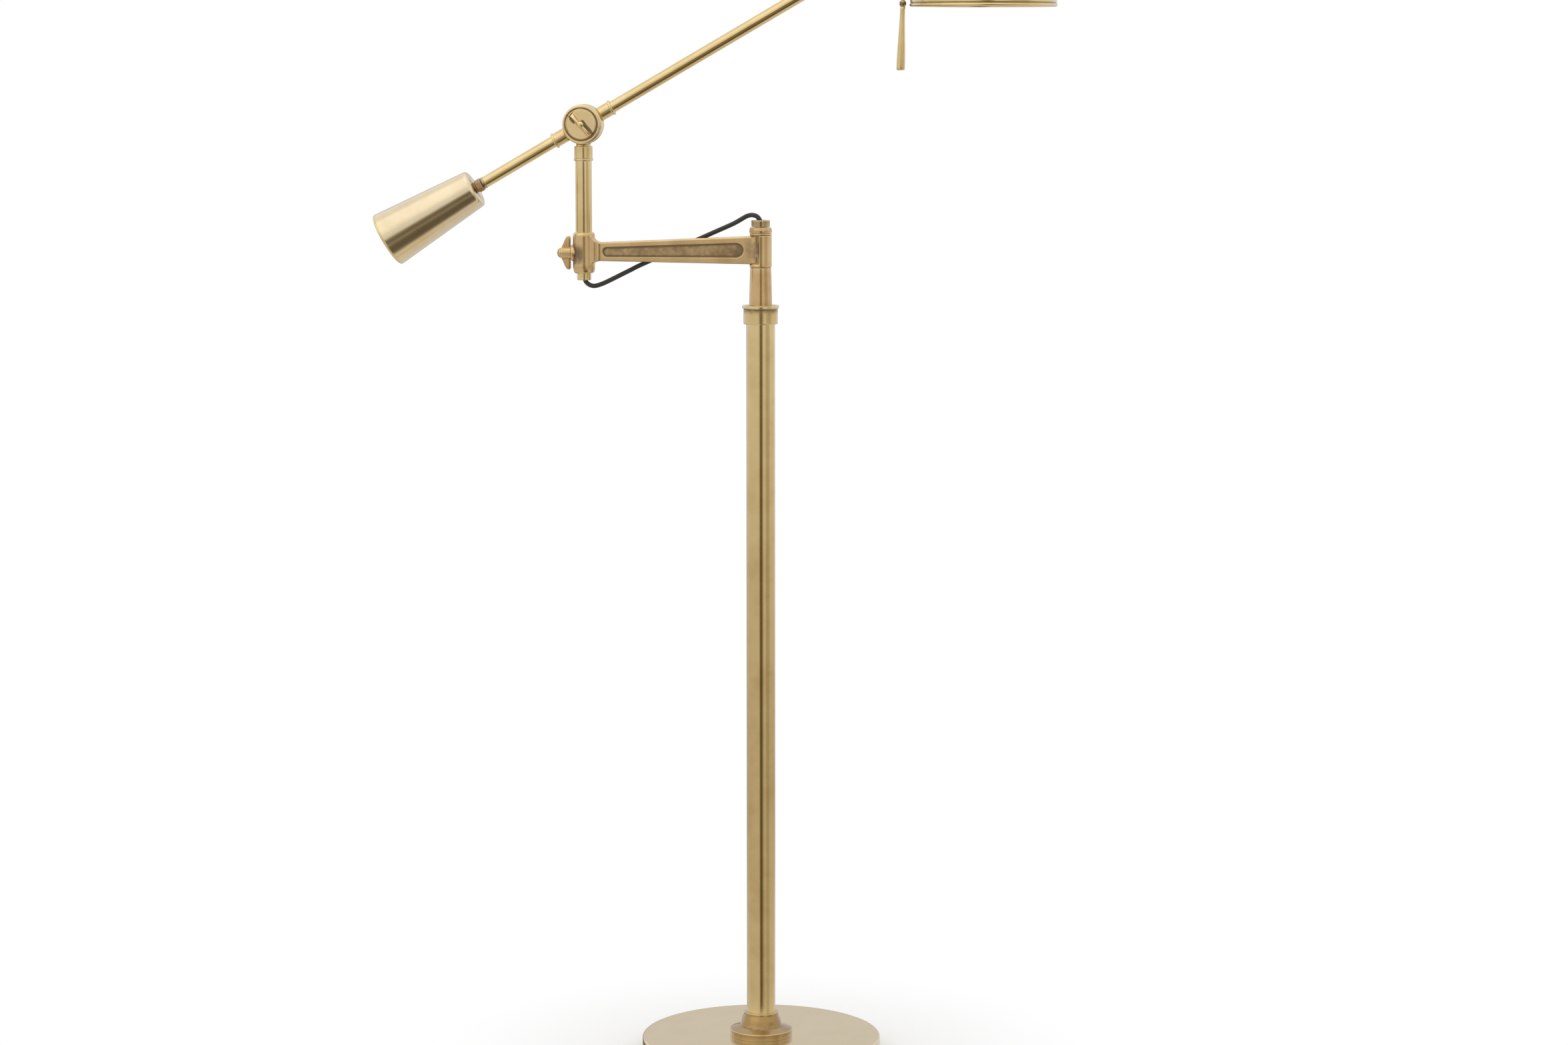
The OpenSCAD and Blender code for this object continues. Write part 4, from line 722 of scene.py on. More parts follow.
# %% [markdown]
# ## The clamp's wing screw
# A round screw hub with two flat wings, flat on the side that faces the clamp and sloping on
# the other, so that a thumb finds them in the dark. It is cast and then filed. Each wing is a
# plate with its outline worked out in the front view, and a domed button closes the end.

# %% Make the wing screw
screw_brass = satin_brass("cast_satin_brass_screw", SCREW_AXIS, "grain", metal="#cdac75", cloud="#b8955f")


def wing_grid(sign):
    """Rings from the middle of the plate out to its edge, at both faces: outline * share, y = +-3."""
    outline = np.array([(-0.9, 2), (-0.9, 12), (-0.9, 18.4), (-1.3, 20.0), (-2.4, 20.9), (-4.2, 21.1),
                        (-5.8, 20.4), (-8.0, 17.0), (-10.2, 11.8), (-11.8, 8.4), (-13.0, 6.0), (-13.3, 2)])
    way = np.r_[0, np.cumsum(np.linalg.norm(np.diff(np.vstack([outline, outline[:1]]), axis=0), axis=1))]
    s = np.linspace(0, way[-1], 73)[:-1]
    ring = np.stack([np.interp(s, way, np.r_[outline[:, k], outline[0, k]]) for k in (0, 1)], 1)
    centre = np.array((-6.0, 8.5))
    share = np.array([0, 0.5, 0.86, 0.93, 0.98, 1, 1, 0.98, 0.93, 0.86, 0.5, 0])[:, None, None]
    half = np.array([3, 3, 3, 2.9, 2.6, 2.0, -2.0, -2.6, -2.9, -3, -3, -3])[:, None]
    flat = centre + (ring - centre)[None] * share
    point = np.stack([flat[..., 0], np.broadcast_to(half, flat.shape[:2]), sign * flat[..., 1]], -1)
    return (point + SCREW_AXIS[0]) * MM, 0.5 * (share[..., 0] > 0.95), True, False


SCREW_FACE, SCREW_END = -0.3, -12.9
screw = around([
    (0, SCREW_END), (7.75, SCREW_END, 1.2), (7.75, SCREW_FACE, 0.8), (3, SCREW_FACE), (3, 3.6, 0.3),
    (0, 3.6)
], SCREW_AXIS, sides=96)
piece("wing_screw", surface("wing_screw", screw, wing_grid(1), wing_grid(-1)), screw_brass, "clamp_screw")
turned("wing_screw_button", [(0, SCREW_END - FIT), *oval((0, SCREW_END - FIT), 6.3, -5.5, 0, 90)],
       SCREW_AXIS, screw_brass, "screw_button", sides=64)

# %% [markdown]
# ## The stem
# The stem is a 21 mm tube held by the clamp. A turned bush closes its foot and lets the lead in
# through a bell mouth, so that the lead never rubs on an edge. At its top a ring and a collar
# carry the tilt joint.

# %% Turn the stem's pieces
turned_on_stem = satin_brass("turned_satin_brass_stem", STEM_AXIS)
drawn_on_stem = satin_brass("drawn_satin_brass_stem", STEM_AXIS, "streaks", roughness=0.16)
STEM_TOP = CLAMP_TOP + 89.4
STEM_COLLAR_TOP = STEM_TOP + 18.4
BUSH_Z = CLAMP_Z - 8.7
bell_mouth = [(7.4 - 3.8 * math.cos(a), BUSH_Z + 5 - 4.9 * math.sin(a))
              for a in np.radians([20, 45, 70, 88]).tolist()]
turned("lead_bush", [
    (3.6, CLAMP_Z + 12), (3.6, BUSH_Z + 5), *bell_mouth, (8.95, BUSH_Z, 0.9), (8.95, CLAMP_Z - 0.05, 0.6),
    (8.85, CLAMP_Z - 0.05), (8.85, CLAMP_Z + 12, 0.4)
], STEM_AXIS, turned_on_stem, "cord_bush", sides=96)
turned("stem", [(8.9, CLAMP_Z), (10.4, CLAMP_Z), (10.4, STEM_TOP, 0.3), (8.9, STEM_TOP)],
       STEM_AXIS, drawn_on_stem, "stem_tube", sides=96, longest=20)
turned("beaded_stem_ring", [
    (8.9, STEM_TOP), (12.35, STEM_TOP, 1.2), (12.35, STEM_TOP + 3, 1.2), (8.9, STEM_TOP + 3)
], STEM_AXIS, turned_on_stem, "stem_ring", sides=96)
turned("turned_stem_collar", [
    (8.9, STEM_TOP + 3), (11.65, STEM_TOP + 3, 0.5), (11.65, STEM_COLLAR_TOP, 1.1), (0, STEM_COLLAR_TOP),
    (0, STEM_COLLAR_TOP - 4), (8.9, STEM_COLLAR_TOP - 4)
], STEM_AXIS, turned_on_stem, "stem_collar", sides=96)

# %% [markdown]
# ## The tilt joint
# Two turned halves of a drum face each other with a thin fibre washer between them. The rear
# half stands on the stem by a short round neck, whose top is hollowed to the drum's curve. The
# front half carries the boom. A domed cap closes the back.

# %% Turn the drum
JOINT_Z = STEM_COLLAR_TOP + 27.2
DRUM_R = 25.0
JOINT_BACK = axis_at((-ARM, 0, JOINT_Z), (0, 1, 0))
JOINT_FRONT = axis_at((-ARM, 0, JOINT_Z), (0, -1, 0))
turned_on_joint = satin_brass("turned_satin_brass_joint", JOINT_FRONT)
half_drum = [(4.05, 0.5), (DRUM_R, 0.5, 0.5), (DRUM_R, 13.5, 2.6), (4.05, 13.5)]
NECK_FOOT, NECK_TOP = STEM_COLLAR_TOP - JOINT_Z, -21
neck = around([(0, NECK_FOOT), (9.3, NECK_FOOT, 0.4), (9.3, NECK_TOP), (0, NECK_TOP)],
              axis_at((-ARM, 0, JOINT_Z), (0, 0, 1)), sides=96, longest=1.5,
              shape=lambda x, y, z: (x, y, np.where(z > -26.5, -np.sqrt((DRUM_R + 0.25) ** 2 - x ** 2), z)))
piece("drum_rear_half", surface("drum_rear_half", around(half_drum, JOINT_BACK, sides=128), neck),
      turned_on_joint, "tilt_housing")
turned("drum_front_half", half_drum, JOINT_FRONT, turned_on_joint, "tilt_cheek", sides=128)
turned("drum_back_cap", [
    (4.05, 13.5), (18, 13.5), (18, 14.5, 0.5), *oval((0, 14.5), 17.5, 2.5, 0, 90)[1:], (0, 15.2)
], JOINT_BACK, turned_on_joint, "tilt_back_cap", sides=96)

# %% [markdown]
# ## The tilt knob
# The knob is a turned disc with a thin raised rim and a groove inside it. A rounded rib, for
# the thumb, sweeps across its face, highest in the middle. Painted shadow darkens the rib's one
# side above the middle and its other side below it, so it reads as a long S; a painted highlight
# runs along its crest. It is a height field in polar form: the disc is turned first, and then
# each point of its face is lifted by the rib's own formula.

# %% Turn the knob and lift its rib
KNOB_R, KNOB_FOOT = 23.3, 13.55
RIB_ANGLE = math.radians(-48)


def on_the_rib(x, y):
    """Distance a along the rib, and b across it, from the knob's middle."""
    c, s = math.cos(RIB_ANGLE), math.sin(RIB_ANGLE)
    return x * c + y * s, y * c - x * s


def ribbed(x, y, z):
    """Lift the face by a rounded rib: a cosine bump across it, from -5.0 to 2.2 mm on the upper
    half and from -4.2 to 3.0 mm on the lower, falling as the root of 1 - (a/18)^2 from the middle."""
    a, b = on_the_rib(x, y)
    b = b + 1.4 - 0.8 * smooth_step(a, -8, 4)
    bump = np.cos(np.pi / 2 * np.clip(b / 3.6, -1, 1)) ** 0.7
    fall = np.sqrt(np.clip(1 - (a / 18.0) ** 2, 0, 1))
    face = z > KNOB_FOOT + 4.9
    return x, y, z + np.where(face & (np.hypot(x, y) < KNOB_R - 4.6), 6.2 * fall * bump, 0)


def painted_shading_on_rib(x, y, z):
    """Painted shadow along one side of the rib above the middle and along the other side below
    it; a painted highlight on its crest; painted shade in the groove, most to the lower right."""
    a, b = on_the_rib(x, y)
    upper = np.exp(-((b + 4.9) / 1.9) ** 2) * smooth_step(a, -20, -16) * (1 - smooth_step(a, -9, -5))
    lower_line = 2.9 + np.exp(-((a + 2) / 3) ** 2)
    lower = np.exp(-((b - lower_line) / 2.0) ** 2) * smooth_step(a, -7, 1) * (1 - smooth_step(a, 17, 20))
    crest = np.exp(-((b + 0.6) / 1.2) ** 2) * smooth_step(a, -8, -4) * (1 - smooth_step(a, 9, 16))
    r = np.maximum(np.hypot(x, y), 1e-6)
    groove = np.exp(-((r - 19.8) / 1.8) ** 2) * (-0.15 + 0.36 * (x - y) / r)
    return np.where(z > KNOB_FOOT + 3, 0.5 * crest - 0.95 * upper - 1.15 * lower - groove, 0)


bright_on_joint = satin_brass("hand_polished_brass_knob", JOINT_FRONT, metal="#e4ca94", cloud="#dabd83")
turned("ribbed_tilt_knob", [
    (4.05, KNOB_FOOT), (KNOB_R - 0.9, KNOB_FOOT, 0.2), (KNOB_R - 0.9, KNOB_FOOT + 1.2, 0.2),
    (KNOB_R, KNOB_FOOT + 1.9, 0.3), (KNOB_R, KNOB_FOOT + 7, 1.1), (KNOB_R - 2.1, KNOB_FOOT + 7, 0.7),
    (KNOB_R - 2.7, KNOB_FOOT + 4.6, 0.5), (KNOB_R - 4.5, KNOB_FOOT + 4.6, 0.6),
    (KNOB_R - 5.3, KNOB_FOOT + 5.2, 0.6), (0, KNOB_FOOT + 5.2), (0, KNOB_FOOT + 1.2),
    (4.05, KNOB_FOOT + 1.2)
], JOINT_FRONT, bright_on_joint, "tilt_knob", sides=192, longest=0.5, shape=ribbed, stain=painted_shading_on_rib)
turned("domed_knob_button", [
    (0, KNOB_FOOT + 10.8), (3.9, KNOB_FOOT + 10.8), *oval((0, KNOB_FOOT + 11.8), 3.6, 1.5, 0, 90)
], JOINT_FRONT, turned_on_joint, "knob_button", sides=64)

# %% [markdown]
# ## The boom
# The boom is two tubes that leave the drum on opposite sides, each held by a turned sleeve with
# a beaded ring at its mouth. Where a sleeve meets the drum its end is hollowed, so each point
# near the end is pushed out to the drum's round.

# %% Make the sleeves and tubes
BOOM_ANGLE, BOOM_LEN, BOOM_R = math.radians(30.2), 466.5, 7.25
ahead_boom = (math.cos(BOOM_ANGLE), 0, math.sin(BOOM_ANGLE))
FRONT_AXIS = axis_at((-ARM, 0, JOINT_Z), ahead_boom)
REAR_AXIS = axis_at((-ARM, 0, JOINT_Z), (-ahead_boom[0], 0, -ahead_boom[2]))
turned_on_boom = satin_brass("turned_satin_brass_boom", FRONT_AXIS)
drawn_on_boom = satin_brass("drawn_satin_brass_boom", FRONT_AXIS, "streaks", roughness=0.16)


def hollowed(x, y, z):
    """Keep a sleeve's near end on the drum: z at least sqrt(R^2 - x^2), with more room behind."""
    r = np.where(y < 0.5, DRUM_R + FIT, DRUM_R + 0.3)
    return x, y, np.where(z < 25, np.sqrt(np.clip(r ** 2 - x ** 2, 0, None)), z)


TUBE_BORE, TUBE_START = 6.05, 27.1
TUBE_SEAT = BOOM_R + FIT
for name, node, axis in (("turned_front_sleeve", "front_sleeve", FRONT_AXIS),
                         ("turned_rear_sleeve", "rear_sleeve", REAR_AXIS)):
    turned(name, [(TUBE_SEAT, 24), (8.9, 24), (8.9, 39.4, 0.4), (TUBE_SEAT, 39.4)],
           axis, turned_on_boom, node, sides=96, longest=3, shape=hollowed)
    turned(name + "_ring", [
        (TUBE_SEAT, 39.4), (8.9, 39.4, 0.2), (9.0, 40.1, 0.2), (10.1, 40.3, 0.9), (10.1, 42.3, 1.0),
        (8.6, 42.9), (TUBE_SEAT, 42.9)
    ], axis, turned_on_boom, node + "_ring", sides=96)
FRONT_END, REAR_END = BOOM_LEN - 21.5, 145.0
turned("drawn_front_tube", [
    (TUBE_BORE, TUBE_START, 0.2), (BOOM_R, TUBE_START, 0.2), (BOOM_R, FRONT_END, 0.2),
    (TUBE_BORE, FRONT_END, 0.2)
], FRONT_AXIS, drawn_on_boom, "front_tube", sides=96, longest=40)
turned("drawn_rear_tube", [
    (TUBE_BORE, TUBE_START, 0.2), (BOOM_R, TUBE_START, 0.2), (BOOM_R, REAR_END, 0.5),
    (TUBE_BORE, REAR_END, 0.2)
], REAR_AXIS, drawn_on_boom, "rear_tube", sides=96, longest=40)

# %% [markdown]
# ## The counterweight
# A tapered brass shell over an iron core balances the head. It grows from 48 to 71 mm and is
# turned all over, with a generous round at its near face and a flat cap at its far end. A
# knurled ring locks it on its threaded rod. Knurling is a row of fine ridges that a wheel
# presses in: here the ring's radius follows a rounded wave round its rim.

# %% Turn the counterweight and its lock ring
WEIGHT_NEAR, WEIGHT_FAR = 158.8, 287.2
NEAR_R, FAR_R = 24.15, 35.3
ROD_BORE = 5.02
LOCK_Z, LOCK_END = WEIGHT_NEAR - 13.75, WEIGHT_NEAR - FIT


def knurled(ridges, depth, low, high):
    """Ridges on a rim: the radius gives way by depth * (1 - |sin|) between two heights."""
    def press(x, y, z):
        r = np.hypot(x, y)
        a = np.arctan2(y, x)
        dip = depth * (1 - np.abs(np.sin(ridges * a / 2)))
        new = r - np.where((z > low) & (z < high) & (r > 0.85 * r.max()), dip, 0)
        return x * new / np.maximum(r, 1e-6), y * new / np.maximum(r, 1e-6), z
    return press


# A paler, whiter copy of the brass paints the counterweight's near-white highlights.
weight_painted_pale = satin_brass("satin_brass_weight_painted_pale", FRONT_AXIS, metal="#dfcdaa", cloud="#d7c39c")
turned("counterweight", [
    (ROD_BORE, WEIGHT_NEAR), (NEAR_R, WEIGHT_NEAR, 4.6), (FAR_R, WEIGHT_FAR, 0.25),
    (FAR_R - 2.5, WEIGHT_FAR), (NEAR_R - 2.4, WEIGHT_NEAR + 2.5), (ROD_BORE, WEIGHT_NEAR + 2.5)
], REAR_AXIS, weight_painted_pale, "weight_shell", sides=160, longest=16)
turned("counterweight_cap", [
    (0, WEIGHT_FAR), (FAR_R, WEIGHT_FAR + FIT, 0.2), (FAR_R, WEIGHT_FAR + 0.5, 0.2),
    (FAR_R - 0.4, WEIGHT_FAR + 3, 2.0), (0, WEIGHT_FAR + 3)
], REAR_AXIS, turned_on_boom, "weight_cap", sides=160, longest=8)
toned_lock_ring = satin_brass("deep_toned_brass_lock_ring", FRONT_AXIS, metal="#a9875a", cloud="#8d6d41")
turned("lock_ring", [
    (ROD_BORE, LOCK_Z), (7.6, LOCK_Z, 0.4), (7.6, WEIGHT_NEAR - 11, 0.4), (7.0, WEIGHT_NEAR - 10.6, 0.2),
    (7.0, WEIGHT_NEAR - 10.1, 0.2), (8.3, WEIGHT_NEAR - 9.6, 0.5), (8.3, WEIGHT_NEAR - 2.6, 0.6),
    (7.2, WEIGHT_NEAR - 2.0, 0.3), (7.2, LOCK_END, 0.2), (ROD_BORE, LOCK_END)
], REAR_AXIS, toned_lock_ring, "weight_lock_ring", sides=288,
    shape=knurled(48, 0.35, WEIGHT_NEAR - 9.3, WEIGHT_NEAR - 2.9))

# %% [markdown]
# ## The head's knuckle
# The knuckle is a smaller tilt joint: two round cheeks with a washer between them and a bolt
# through both. The rear cheek ends the boom in a socket, and the front one carries the head.

# %% Turn the knuckle
HEAD = (-ARM + BOOM_LEN * ahead_boom[0], 0, JOINT_Z + BOOM_LEN * ahead_boom[2])
KNUCKLE_R, KNUCKLE_T = 18.5, 8.0
KNUCKLE_BACK, KNUCKLE_FRONT = axis_at(HEAD, (0, 1, 0)), axis_at(HEAD, (0, -1, 0))
BOOM_END = axis_at(HEAD, (-ahead_boom[0], 0, -ahead_boom[2]))
HEAD_ARM_AXIS = axis_at(HEAD, (1, 0, 0))
turned_on_knuckle = satin_brass("turned_satin_brass_knuckle", KNUCKLE_FRONT)
cheek = [(3.05, 0.3), (KNUCKLE_R, 0.3, 0.3), (KNUCKLE_R, KNUCKLE_T, 1.6), (3.05, KNUCKLE_T)]


def saddled(front, back):
    """Keep a branch's near end on a cheek: z at least sqrt(R^2 - x^2), R by which side it is on."""
    def fit(x, y, z):
        r = np.where(y < 0, front, back)
        return x, y, np.where(z < 17, np.sqrt(np.clip(r ** 2 - x ** 2, 0, None)), z)
    return fit


socket = around([(TUBE_SEAT, 16), (8.25, 16), (8.25, 42.5, 0.6), (TUBE_SEAT, 42.5, 0.2)],
                BOOM_END, sides=96, longest=4, shape=saddled(KNUCKLE_R + 0.3, KNUCKLE_R - 0.8))
boom_cheek, head_cheek = (around(cheek, axis, sides=128) for axis in (KNUCKLE_BACK, KNUCKLE_FRONT))
piece("socketed_boom_cheek", surface("socketed_boom_cheek", boom_cheek, socket),
      turned_on_knuckle, "boom_knuckle")
HEAD_ARM_R, ROD_R = 6.5, 2.5
ARM_SEAT, ROD_SEAT = HEAD_ARM_R + FIT, ROD_R + FIT
head_boss = around([(ARM_SEAT, 16), (8, 16), (8, 32.5, 0.8), (ARM_SEAT, 32.5, 0.2)],
                   HEAD_ARM_AXIS, sides=96, longest=4, shape=saddled(KNUCKLE_R - 0.8, KNUCKLE_R + 0.3))
LEAN = math.radians(1.7)
HANDLE_AXIS = axis_at(HEAD, (-math.sin(LEAN), 0, -math.cos(LEAN)))
handle_boss = around([(ROD_SEAT, 16), (3.3, 16), (3.3, 28.5, 0.6), (ROD_SEAT, 28.5, 0.2)],
                     HANDLE_AXIS, sides=64, longest=3, shape=saddled(KNUCKLE_R - 0.3, KNUCKLE_R + 0.3))
piece("branched_head_cheek", surface("branched_head_cheek", head_cheek, head_boss, handle_boss),
      turned_on_knuckle, "head_knuckle")
BOLT_Z = KNUCKLE_T + 0.05      # underside of the bolt's heads
half_bolt = [(0, 0), (3, 0), (3, BOLT_Z), (6.5, BOLT_Z, 0.3), (6.5, BOLT_Z + 2.5, 1.2), (0, BOLT_Z + 2.5)]
bolt_halves = [around(half_bolt, axis, sides=64) for axis in (KNUCKLE_BACK, KNUCKLE_FRONT)]
piece("domed_knuckle_bolt", surface("domed_knuckle_bolt", *bolt_halves), turned_on_knuckle, "knuckle_bolt")

# %% [markdown]
# ## The handle
# A thin rod hangs from the head's knuckle with a small dark bead, and ends in a turned grip
# that swells towards its round end. It tilts the head without touching the hot shade.

# %% Turn the handle
turned_on_handle = satin_brass("turned_satin_brass_handle", HANDLE_AXIS)
dark_on_handle = satin_brass("dark_antiqued_brass_handle", HANDLE_AXIS, metal="#7d6238", cloud="#6b522d",
                             patina="#3a2a14")
HANDLE_LEN, BEAD_REACH, GRIP_R = 167.3, 85.1, 5.3
turned("drawn_handle_rod", [
    (0, 21.55), (ROD_R, 21.55, 0.2), (ROD_R, HANDLE_LEN - 12, 0.2), (0, HANDLE_LEN - 12)
], HANDLE_AXIS, drawn_on_boom, "handle_rod", sides=48, longest=20)
turned("dark_handle_bead", [
    (ROD_SEAT, BEAD_REACH - 3.5), *oval((ROD_SEAT, BEAD_REACH), 1.78, 3.5, -88, 88),
    (ROD_SEAT, BEAD_REACH + 3.5)
], HANDLE_AXIS, dark_on_handle, "handle_bead", sides=64)
grip_start = BEAD_REACH + 3.52
GRIP_NECK, GRIP_END, SWELL_STEPS = 3.1, 2.5, 24
grip_length = HANDLE_LEN - GRIP_END - grip_start
swell = [(GRIP_NECK + (GRIP_R - GRIP_NECK) * math.sin(math.pi / 2 * s) ** 2, grip_start + grip_length * s)
         for s in np.linspace(0, 1, SWELL_STEPS + 1).tolist()]
turned("swelling_handle_grip", [
    (ROD_SEAT, grip_start), *swell,
    *oval((GRIP_R - GRIP_END, HANDLE_LEN - GRIP_END), GRIP_END, GRIP_END, 10, 90, 6), (0, HANDLE_LEN),
    (0, HANDLE_LEN - 11.9), (ROD_SEAT, HANDLE_LEN - 11.9)
], HANDLE_AXIS, turned_on_handle, "handle_grip", sides=64)

# %% [markdown]
# ## The head
# A short arm joins the knuckle to a cup that holds the wiring, with a domed cap and a knurled
# switch on top. The shade is spun from sheet brass over a wooden form: a flat crown, a long
# shoulder, a short skirt and a rolled bead at the rim. It is brass outside and white enamel
# inside, which throws the light down.

# %% Spin the shade
SHADE_X = HEAD[0] + 97.4
RIM_Z = HEAD[2] - 88.8
SKIRT_TOP = RIM_Z + 24.9
SHADE_TOP = SKIRT_TOP + 28.0
SHADE_R, CROWN_R, SHEET = 90.75, 24, 1.2
SHADE_AXIS = axis_at((SHADE_X, 0, 0), (0, 0, 1))
turned_on_shade = satin_brass("spun_satin_brass_shade", SHADE_AXIS)


def shade_line(inset):
    """The sheet's shoulder from the crown to the skirt, at an inset from its outer face."""
    return oval((CROWN_R, SKIRT_TOP), SHADE_R - CROWN_R - inset, SHADE_TOP - SKIRT_TOP - inset, 90, 0, 24)


shade = turned("spun_shade", [
    (3.6, SHADE_TOP), *shade_line(0), (SHADE_R, RIM_Z + 5.4, 0.4), (SHADE_R - 0.7, RIM_Z + 4.9, 0.3),
    (SHADE_R + 0.2, RIM_Z + 4.4, 0.3), *oval((SHADE_R - 1.1, RIM_Z + 2), 2.0, 2.0, 70, -90, 12),
    (SHADE_R - SHEET, RIM_Z + 1.0, 0.3), *shade_line(SHEET)[::-1], (3.6, SHADE_TOP - SHEET)
], SHADE_AXIS, turned_on_shade, "shade", sides=192)
shade.data.materials.append(enamel)
centre = np.empty(3 * len(shade.data.polygons))
normal = np.empty_like(centre)
shade.data.polygons.foreach_get("center", centre)
shade.data.polygons.foreach_get("normal", normal)
centre, normal = centre.reshape(-1, 3), normal.reshape(-1, 3)
outward = centre - np.array((SHADE_X, 0, SKIRT_TOP - 8)) * MM
inside = ((outward * normal).sum(1) < 0) & (centre[:, 2] > (RIM_Z + 4.2) * MM)
shade.data.polygons.foreach_set("material_index", inside.astype(np.int32))
print("shade:", int(inside.sum()), "faces enamelled")
turned("drawn_head_arm", [(5.3, 21.6), (HEAD_ARM_R, 21.6, 0.2), (HEAD_ARM_R, 77.2, 0.2), (5.3, 77.2)],
       HEAD_ARM_AXIS, drawn_on_boom, "head_arm", sides=96, longest=20)
CUP_TOP = SHADE_TOP + 48
turned("turned_holder_cup", [
    (0, SHADE_TOP), (22.2, SHADE_TOP, 1.2), (22.2, SHADE_TOP + 6, 0.3), (21.8, SHADE_TOP + 6.5, 0.3),
    (21.8, SHADE_TOP + 7.3, 0.3), (22.2, SHADE_TOP + 7.8, 0.3), (22.2, CUP_TOP, 0.6),
    (20.2, CUP_TOP, 0.3), (20.2, SHADE_TOP + 2, 0.5), (0, SHADE_TOP + 2)
], SHADE_AXIS, turned_on_shade, "holder_cup", sides=128)
turned("domed_cup_cap", [
    (3.05, CUP_TOP - 3), (20.1, CUP_TOP - 3, 0.2), (20.1, CUP_TOP), (22.2, CUP_TOP, 0.3),
    (22.2, CUP_TOP + 1, 0.3), *oval((17.2, CUP_TOP + 1), 5, 5, 0, 90)[1:], (3.05, CUP_TOP + 6, 0.3)
], SHADE_AXIS, turned_on_shade, "cup_cap", sides=128)
dark_on_shade = satin_brass("dark_antiqued_brass_switch", SHADE_AXIS, metal="#8a6d40", cloud="#765a32",
                            patina="#3a2a14")
SWITCH_Z = CUP_TOP + 6.5
turned("knurled_switch_knob", [
    (0, CUP_TOP), (3, CUP_TOP), (3, SWITCH_Z), (7.5, SWITCH_Z, 0.8), (7.5, SWITCH_Z + 12, 1.4),
    (0, SWITCH_Z + 12)
], SHADE_AXIS, dark_on_shade, "switch_knob", sides=240, longest=1,
    shape=knurled(40, 0.4, SWITCH_Z + 1.2, SWITCH_Z + 10.2))

# %% [markdown]
# ## The lead
# A round black sheathed lead, 5.8 mm thick, links the column to the stem. It comes up out of
# the top nut, bends over it, runs down behind the web and turns up into the bush at the stem's
# foot. It is short and limp, held at both ends, so its route is a smooth curve through points
# measured along the arm: a Catmull-Rom curve, which passes through each of them. A tube is
# swept along it.

# %% Sweep the lead
LEAD_D = 5.8
LEAD_START_Z = NUT_Z + 2
lead_over = [(0, 0, 0), (0.4, 0, 4), (2.4, 0.5, 8.4), (6.1, 1.8, 11.4), (12.1, 3.4, 12.4),
             (18.1, 4.8, 10.8), (24.1, 6.2, 7.5), (35.3, 8.5, 1.2)]
lead_under = [(69.4, 11, 18.3), (56.9, 9.5, 12), (44.5, 7, 5.8), (32.1, 4.5, -0.4), (23, 2.5, -4.6),
              (14.2, 1, -7.3), (8, 0.3, -6.6), (3.2, 0, -3.3), (0.7, 0, 1.2), (0, 0, 6)]
lead_behind = [s * ARM for s in (0.25, 0.35, 0.46, 0.58)]
slope = (BUSH_Z + 18.3 - LEAD_START_Z - 1.2) / (ARM - 69.4 - 35.3)
lead_points = np.array([(-x, y, LEAD_START_Z + z) for x, y, z in lead_over]
                       + [(-x, 12, LEAD_START_Z + 1.2 + slope * (x - 35.3)) for x in lead_behind]
                       + [(-ARM + x, y, BUSH_Z + z) for x, y, z in lead_under])


def smooth_route(points, steps):
    """Points between each p1 and p2: half of 2p1 + (p2-p0)t + (2p0-5p1+4p2-p3)t^2 + (3p1-p0-3p2+p3)t^3."""
    p = np.vstack([points[:1], points, points[-1:]])
    p0, p1, p2, p3 = (p[k:len(p) - 3 + k, None] for k in range(4))
    t = (np.arange(steps) / steps)[None, :, None]
    curve = 0.5 * (2 * p1 + (p2 - p0) * t + (2 * p0 - 5 * p1 + 4 * p2 - p3) * t ** 2
                   + (3 * p1 - p0 - 3 * p2 + p3) * t ** 3)
    return np.vstack([curve.reshape(-1, 3), points[-1:]])


def tube_grid(route, radius, sides=32):
    """Rings along a route: side = y cross along, back = along cross side; closed by two points."""
    along = np.gradient(route, axis=0)
    along[0] = along[-1] = (0, 0, 1)
    along /= np.linalg.norm(along, axis=1)[:, None]
    side = np.cross((0, 1, 0), along)
    side /= np.linalg.norm(side, axis=1)[:, None]
    back = np.cross(along, side)
    a = np.linspace(0, 2 * np.pi, sides, endpoint=False)[None, :, None]
    rings = route[:, None] + radius * (side[:, None] * np.cos(a) + back[:, None] * np.sin(a))
    ends = [np.repeat(route[k][None, None], sides, 1) for k in (0, -1)]
    return np.concatenate([ends[0], rings, ends[1]]) * MM, 0.0, True, False


lead_route = smooth_route(lead_points, 6)
sheath = bpy.data.materials.new("black_rubber_sheath")   # soft, faintly shiny, dusty in patches
sheath.use_nodes = True
tree = sheath.node_tree
shader = tree.nodes["Principled BSDF"]
place = add(tree, "TexCoord").outputs["Object"]
dust = add(tree, "TexNoise", {"Vector": place, "Scale": 1 / 0.012, "Detail": 4.0})
dusty = add(tree, "Mix", {"Factor": dust.outputs["Fac"], 6: colour("#1d1c17"), 7: colour("#33322a")},
            data_type="RGBA")
pores = add(tree, "TexNoise", {"Vector": place, "Scale": 1 / 0.0012, "Detail": 2.0})
skin = add(tree, "Bump", {"Height": pores.outputs["Fac"], "Strength": 0.15, "Distance": 0.0002})
tree.links.new(dusty.outputs["Result"], shader.inputs["Base Color"])
tree.links.new(skin.outputs[0], shader.inputs["Normal"])
shader.inputs["Roughness"].default_value = 0.5
lead_mesh = surface("black_linking_lead", tube_grid(lead_route, LEAD_D / 2))
lead = bpy.data.objects.new("black_linking_lead", lead_mesh)
scene.collection.objects.link(lead)
lead.data.materials.append(sheath)
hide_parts("linking_lead")
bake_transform(lead)

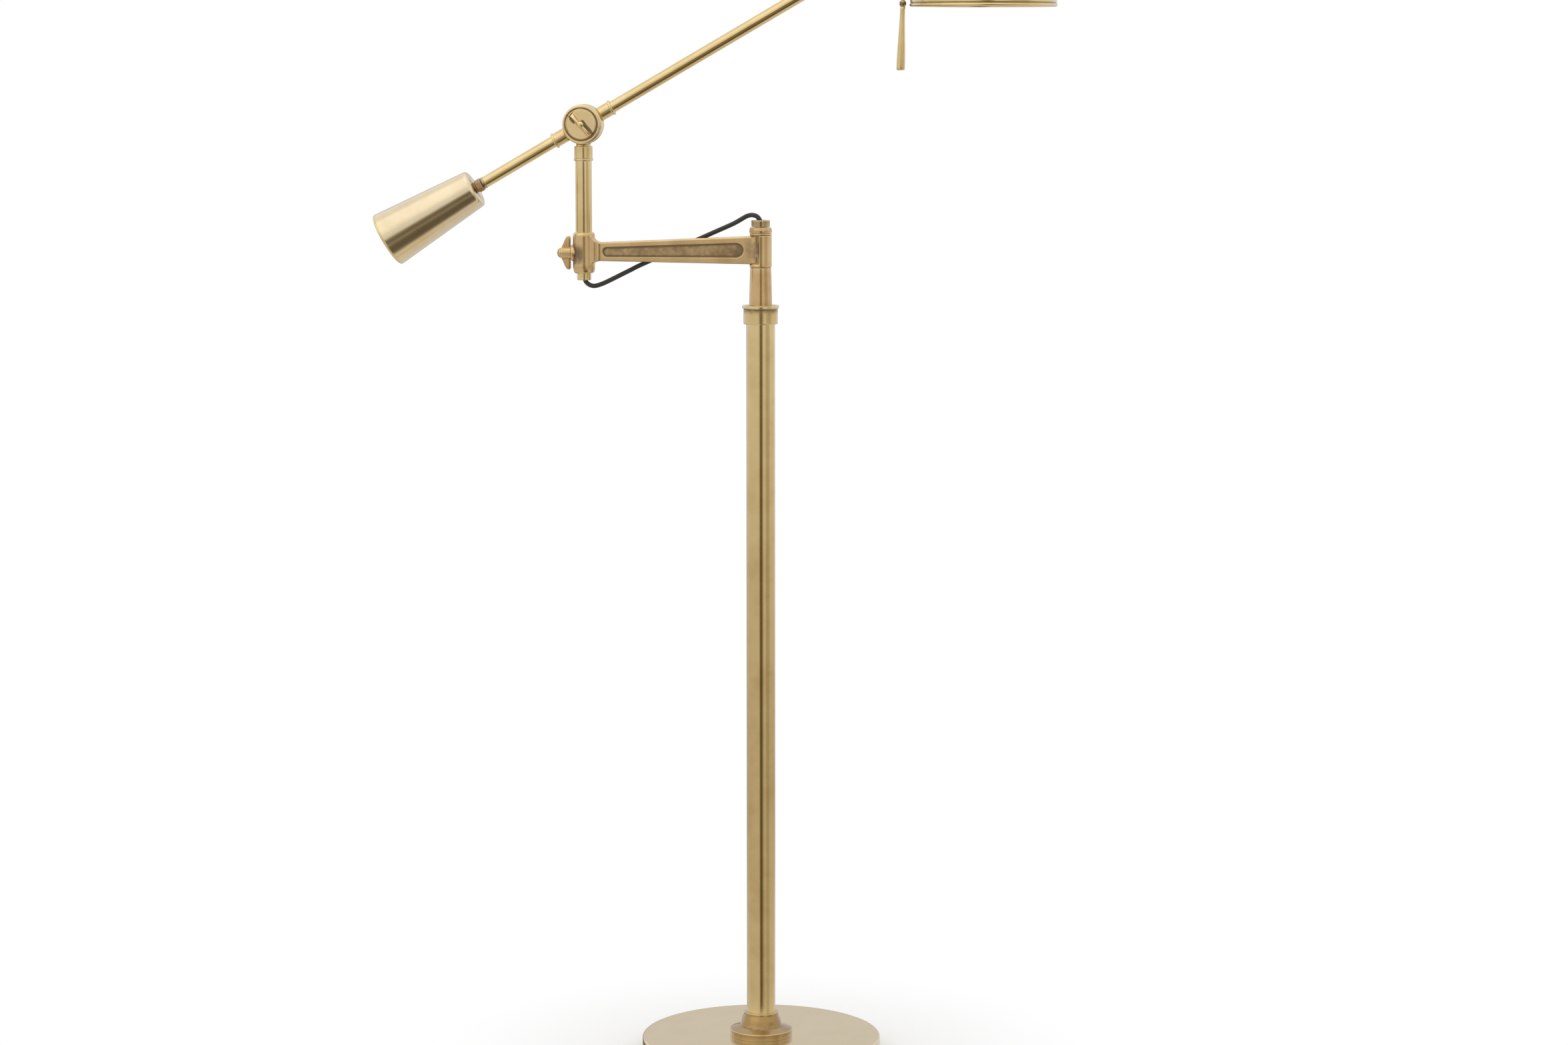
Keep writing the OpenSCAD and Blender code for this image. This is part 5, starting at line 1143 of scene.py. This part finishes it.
# %% [markdown]
# ## The cord gland
# A black rubber bush lines the hole at the back of the base, where the mains cord goes in: a
# rounded flange outside and a short sleeve through the cover.

# %% Mould the gland
GLAND_AXIS = axis_at((0, BASE_R, 11.0), (0, 1, 0))
turned("moulded_cord_gland", [
    (3.2, -12, 0.4), (4.4, -12, 0.4), (4.4, FIT), (6.7, FIT, 0.6), (6.7, 3.0, 1.6), (3.2, 3.0, 0.8)
], GLAND_AXIS, sheath, "cord_gland", sides=64)

# %% [markdown]
# ## The pieces inside
# Under the shade sit a white enamelled housing, a pale circuit board with the light sources on
# it, and an opal diffuser that spreads their light. Under the base are wool felt, the iron
# weight, and the steel washer, nut and pipe that tie the lamp together. Their shapes are right
# as they come, so they stay, and each gets its own finish. Enamel is glass on metal: smooth,
# with a slow waviness. Felt is matted fibre. Cast iron keeps the grain of the sand.

# %% Finish the pieces that stay
opal = plain_finish("opal_acrylic_diffuser", "#f4f3ee", "#efede6", 8, 0.35, 0.02)
opal.node_tree.nodes["Principled BSDF"].inputs["Subsurface Weight"].default_value = 0.3
opal.node_tree.nodes["Principled BSDF"].inputs["Subsurface Scale"].default_value = 0.003
kept = {
    "black_fibre": plain_finish("pressed_black_fibre", "#2c2a27", "#1d1c1a", 0.8, 0.75, 0.3),
    "felt": plain_finish("matted_wool_felt", "#3a3a34", "#24241f", 1.2, 0.95, 0.6),
    "iron": plain_finish("sand_cast_iron", "#5b5a57", "#413f3c", 1.6, 0.6, 0.5, metallic=0.6),
    "steel": plain_finish("zinc_plated_steel", "#b9bbbd", "#a2a5a8", 2.0, 0.35, 0.08, metallic=1.0),
    "bronze": plain_finish("turned_bearing_bronze", "#b98d57", "#a47a48", 1.5, 0.3, 0.06, metallic=1.0),
    "lead": plain_finish("black_lead_sheath", "#2c2b25", "#1d1c18", 1.2, 0.5, 0.15),
    "board": plain_finish("coated_circuit_board", "#f0ecd6", "#e6e0c4", 3.0, 0.4, 0.05),
    "white_enamel": enamel,
    "opal": opal,
    "brass": turned_on_column,
    "dark_brass": dark_on_shade,
}
shown = [node for node, obj in frame["nodes"].items() if not obj.hide_render]
for node in shown:
    frame["nodes"][node].data.materials.clear()
    frame["nodes"][node].data.materials.append(kept[slot_of_node[node]])
print("kept from the frame:", ", ".join(sorted(shown)))
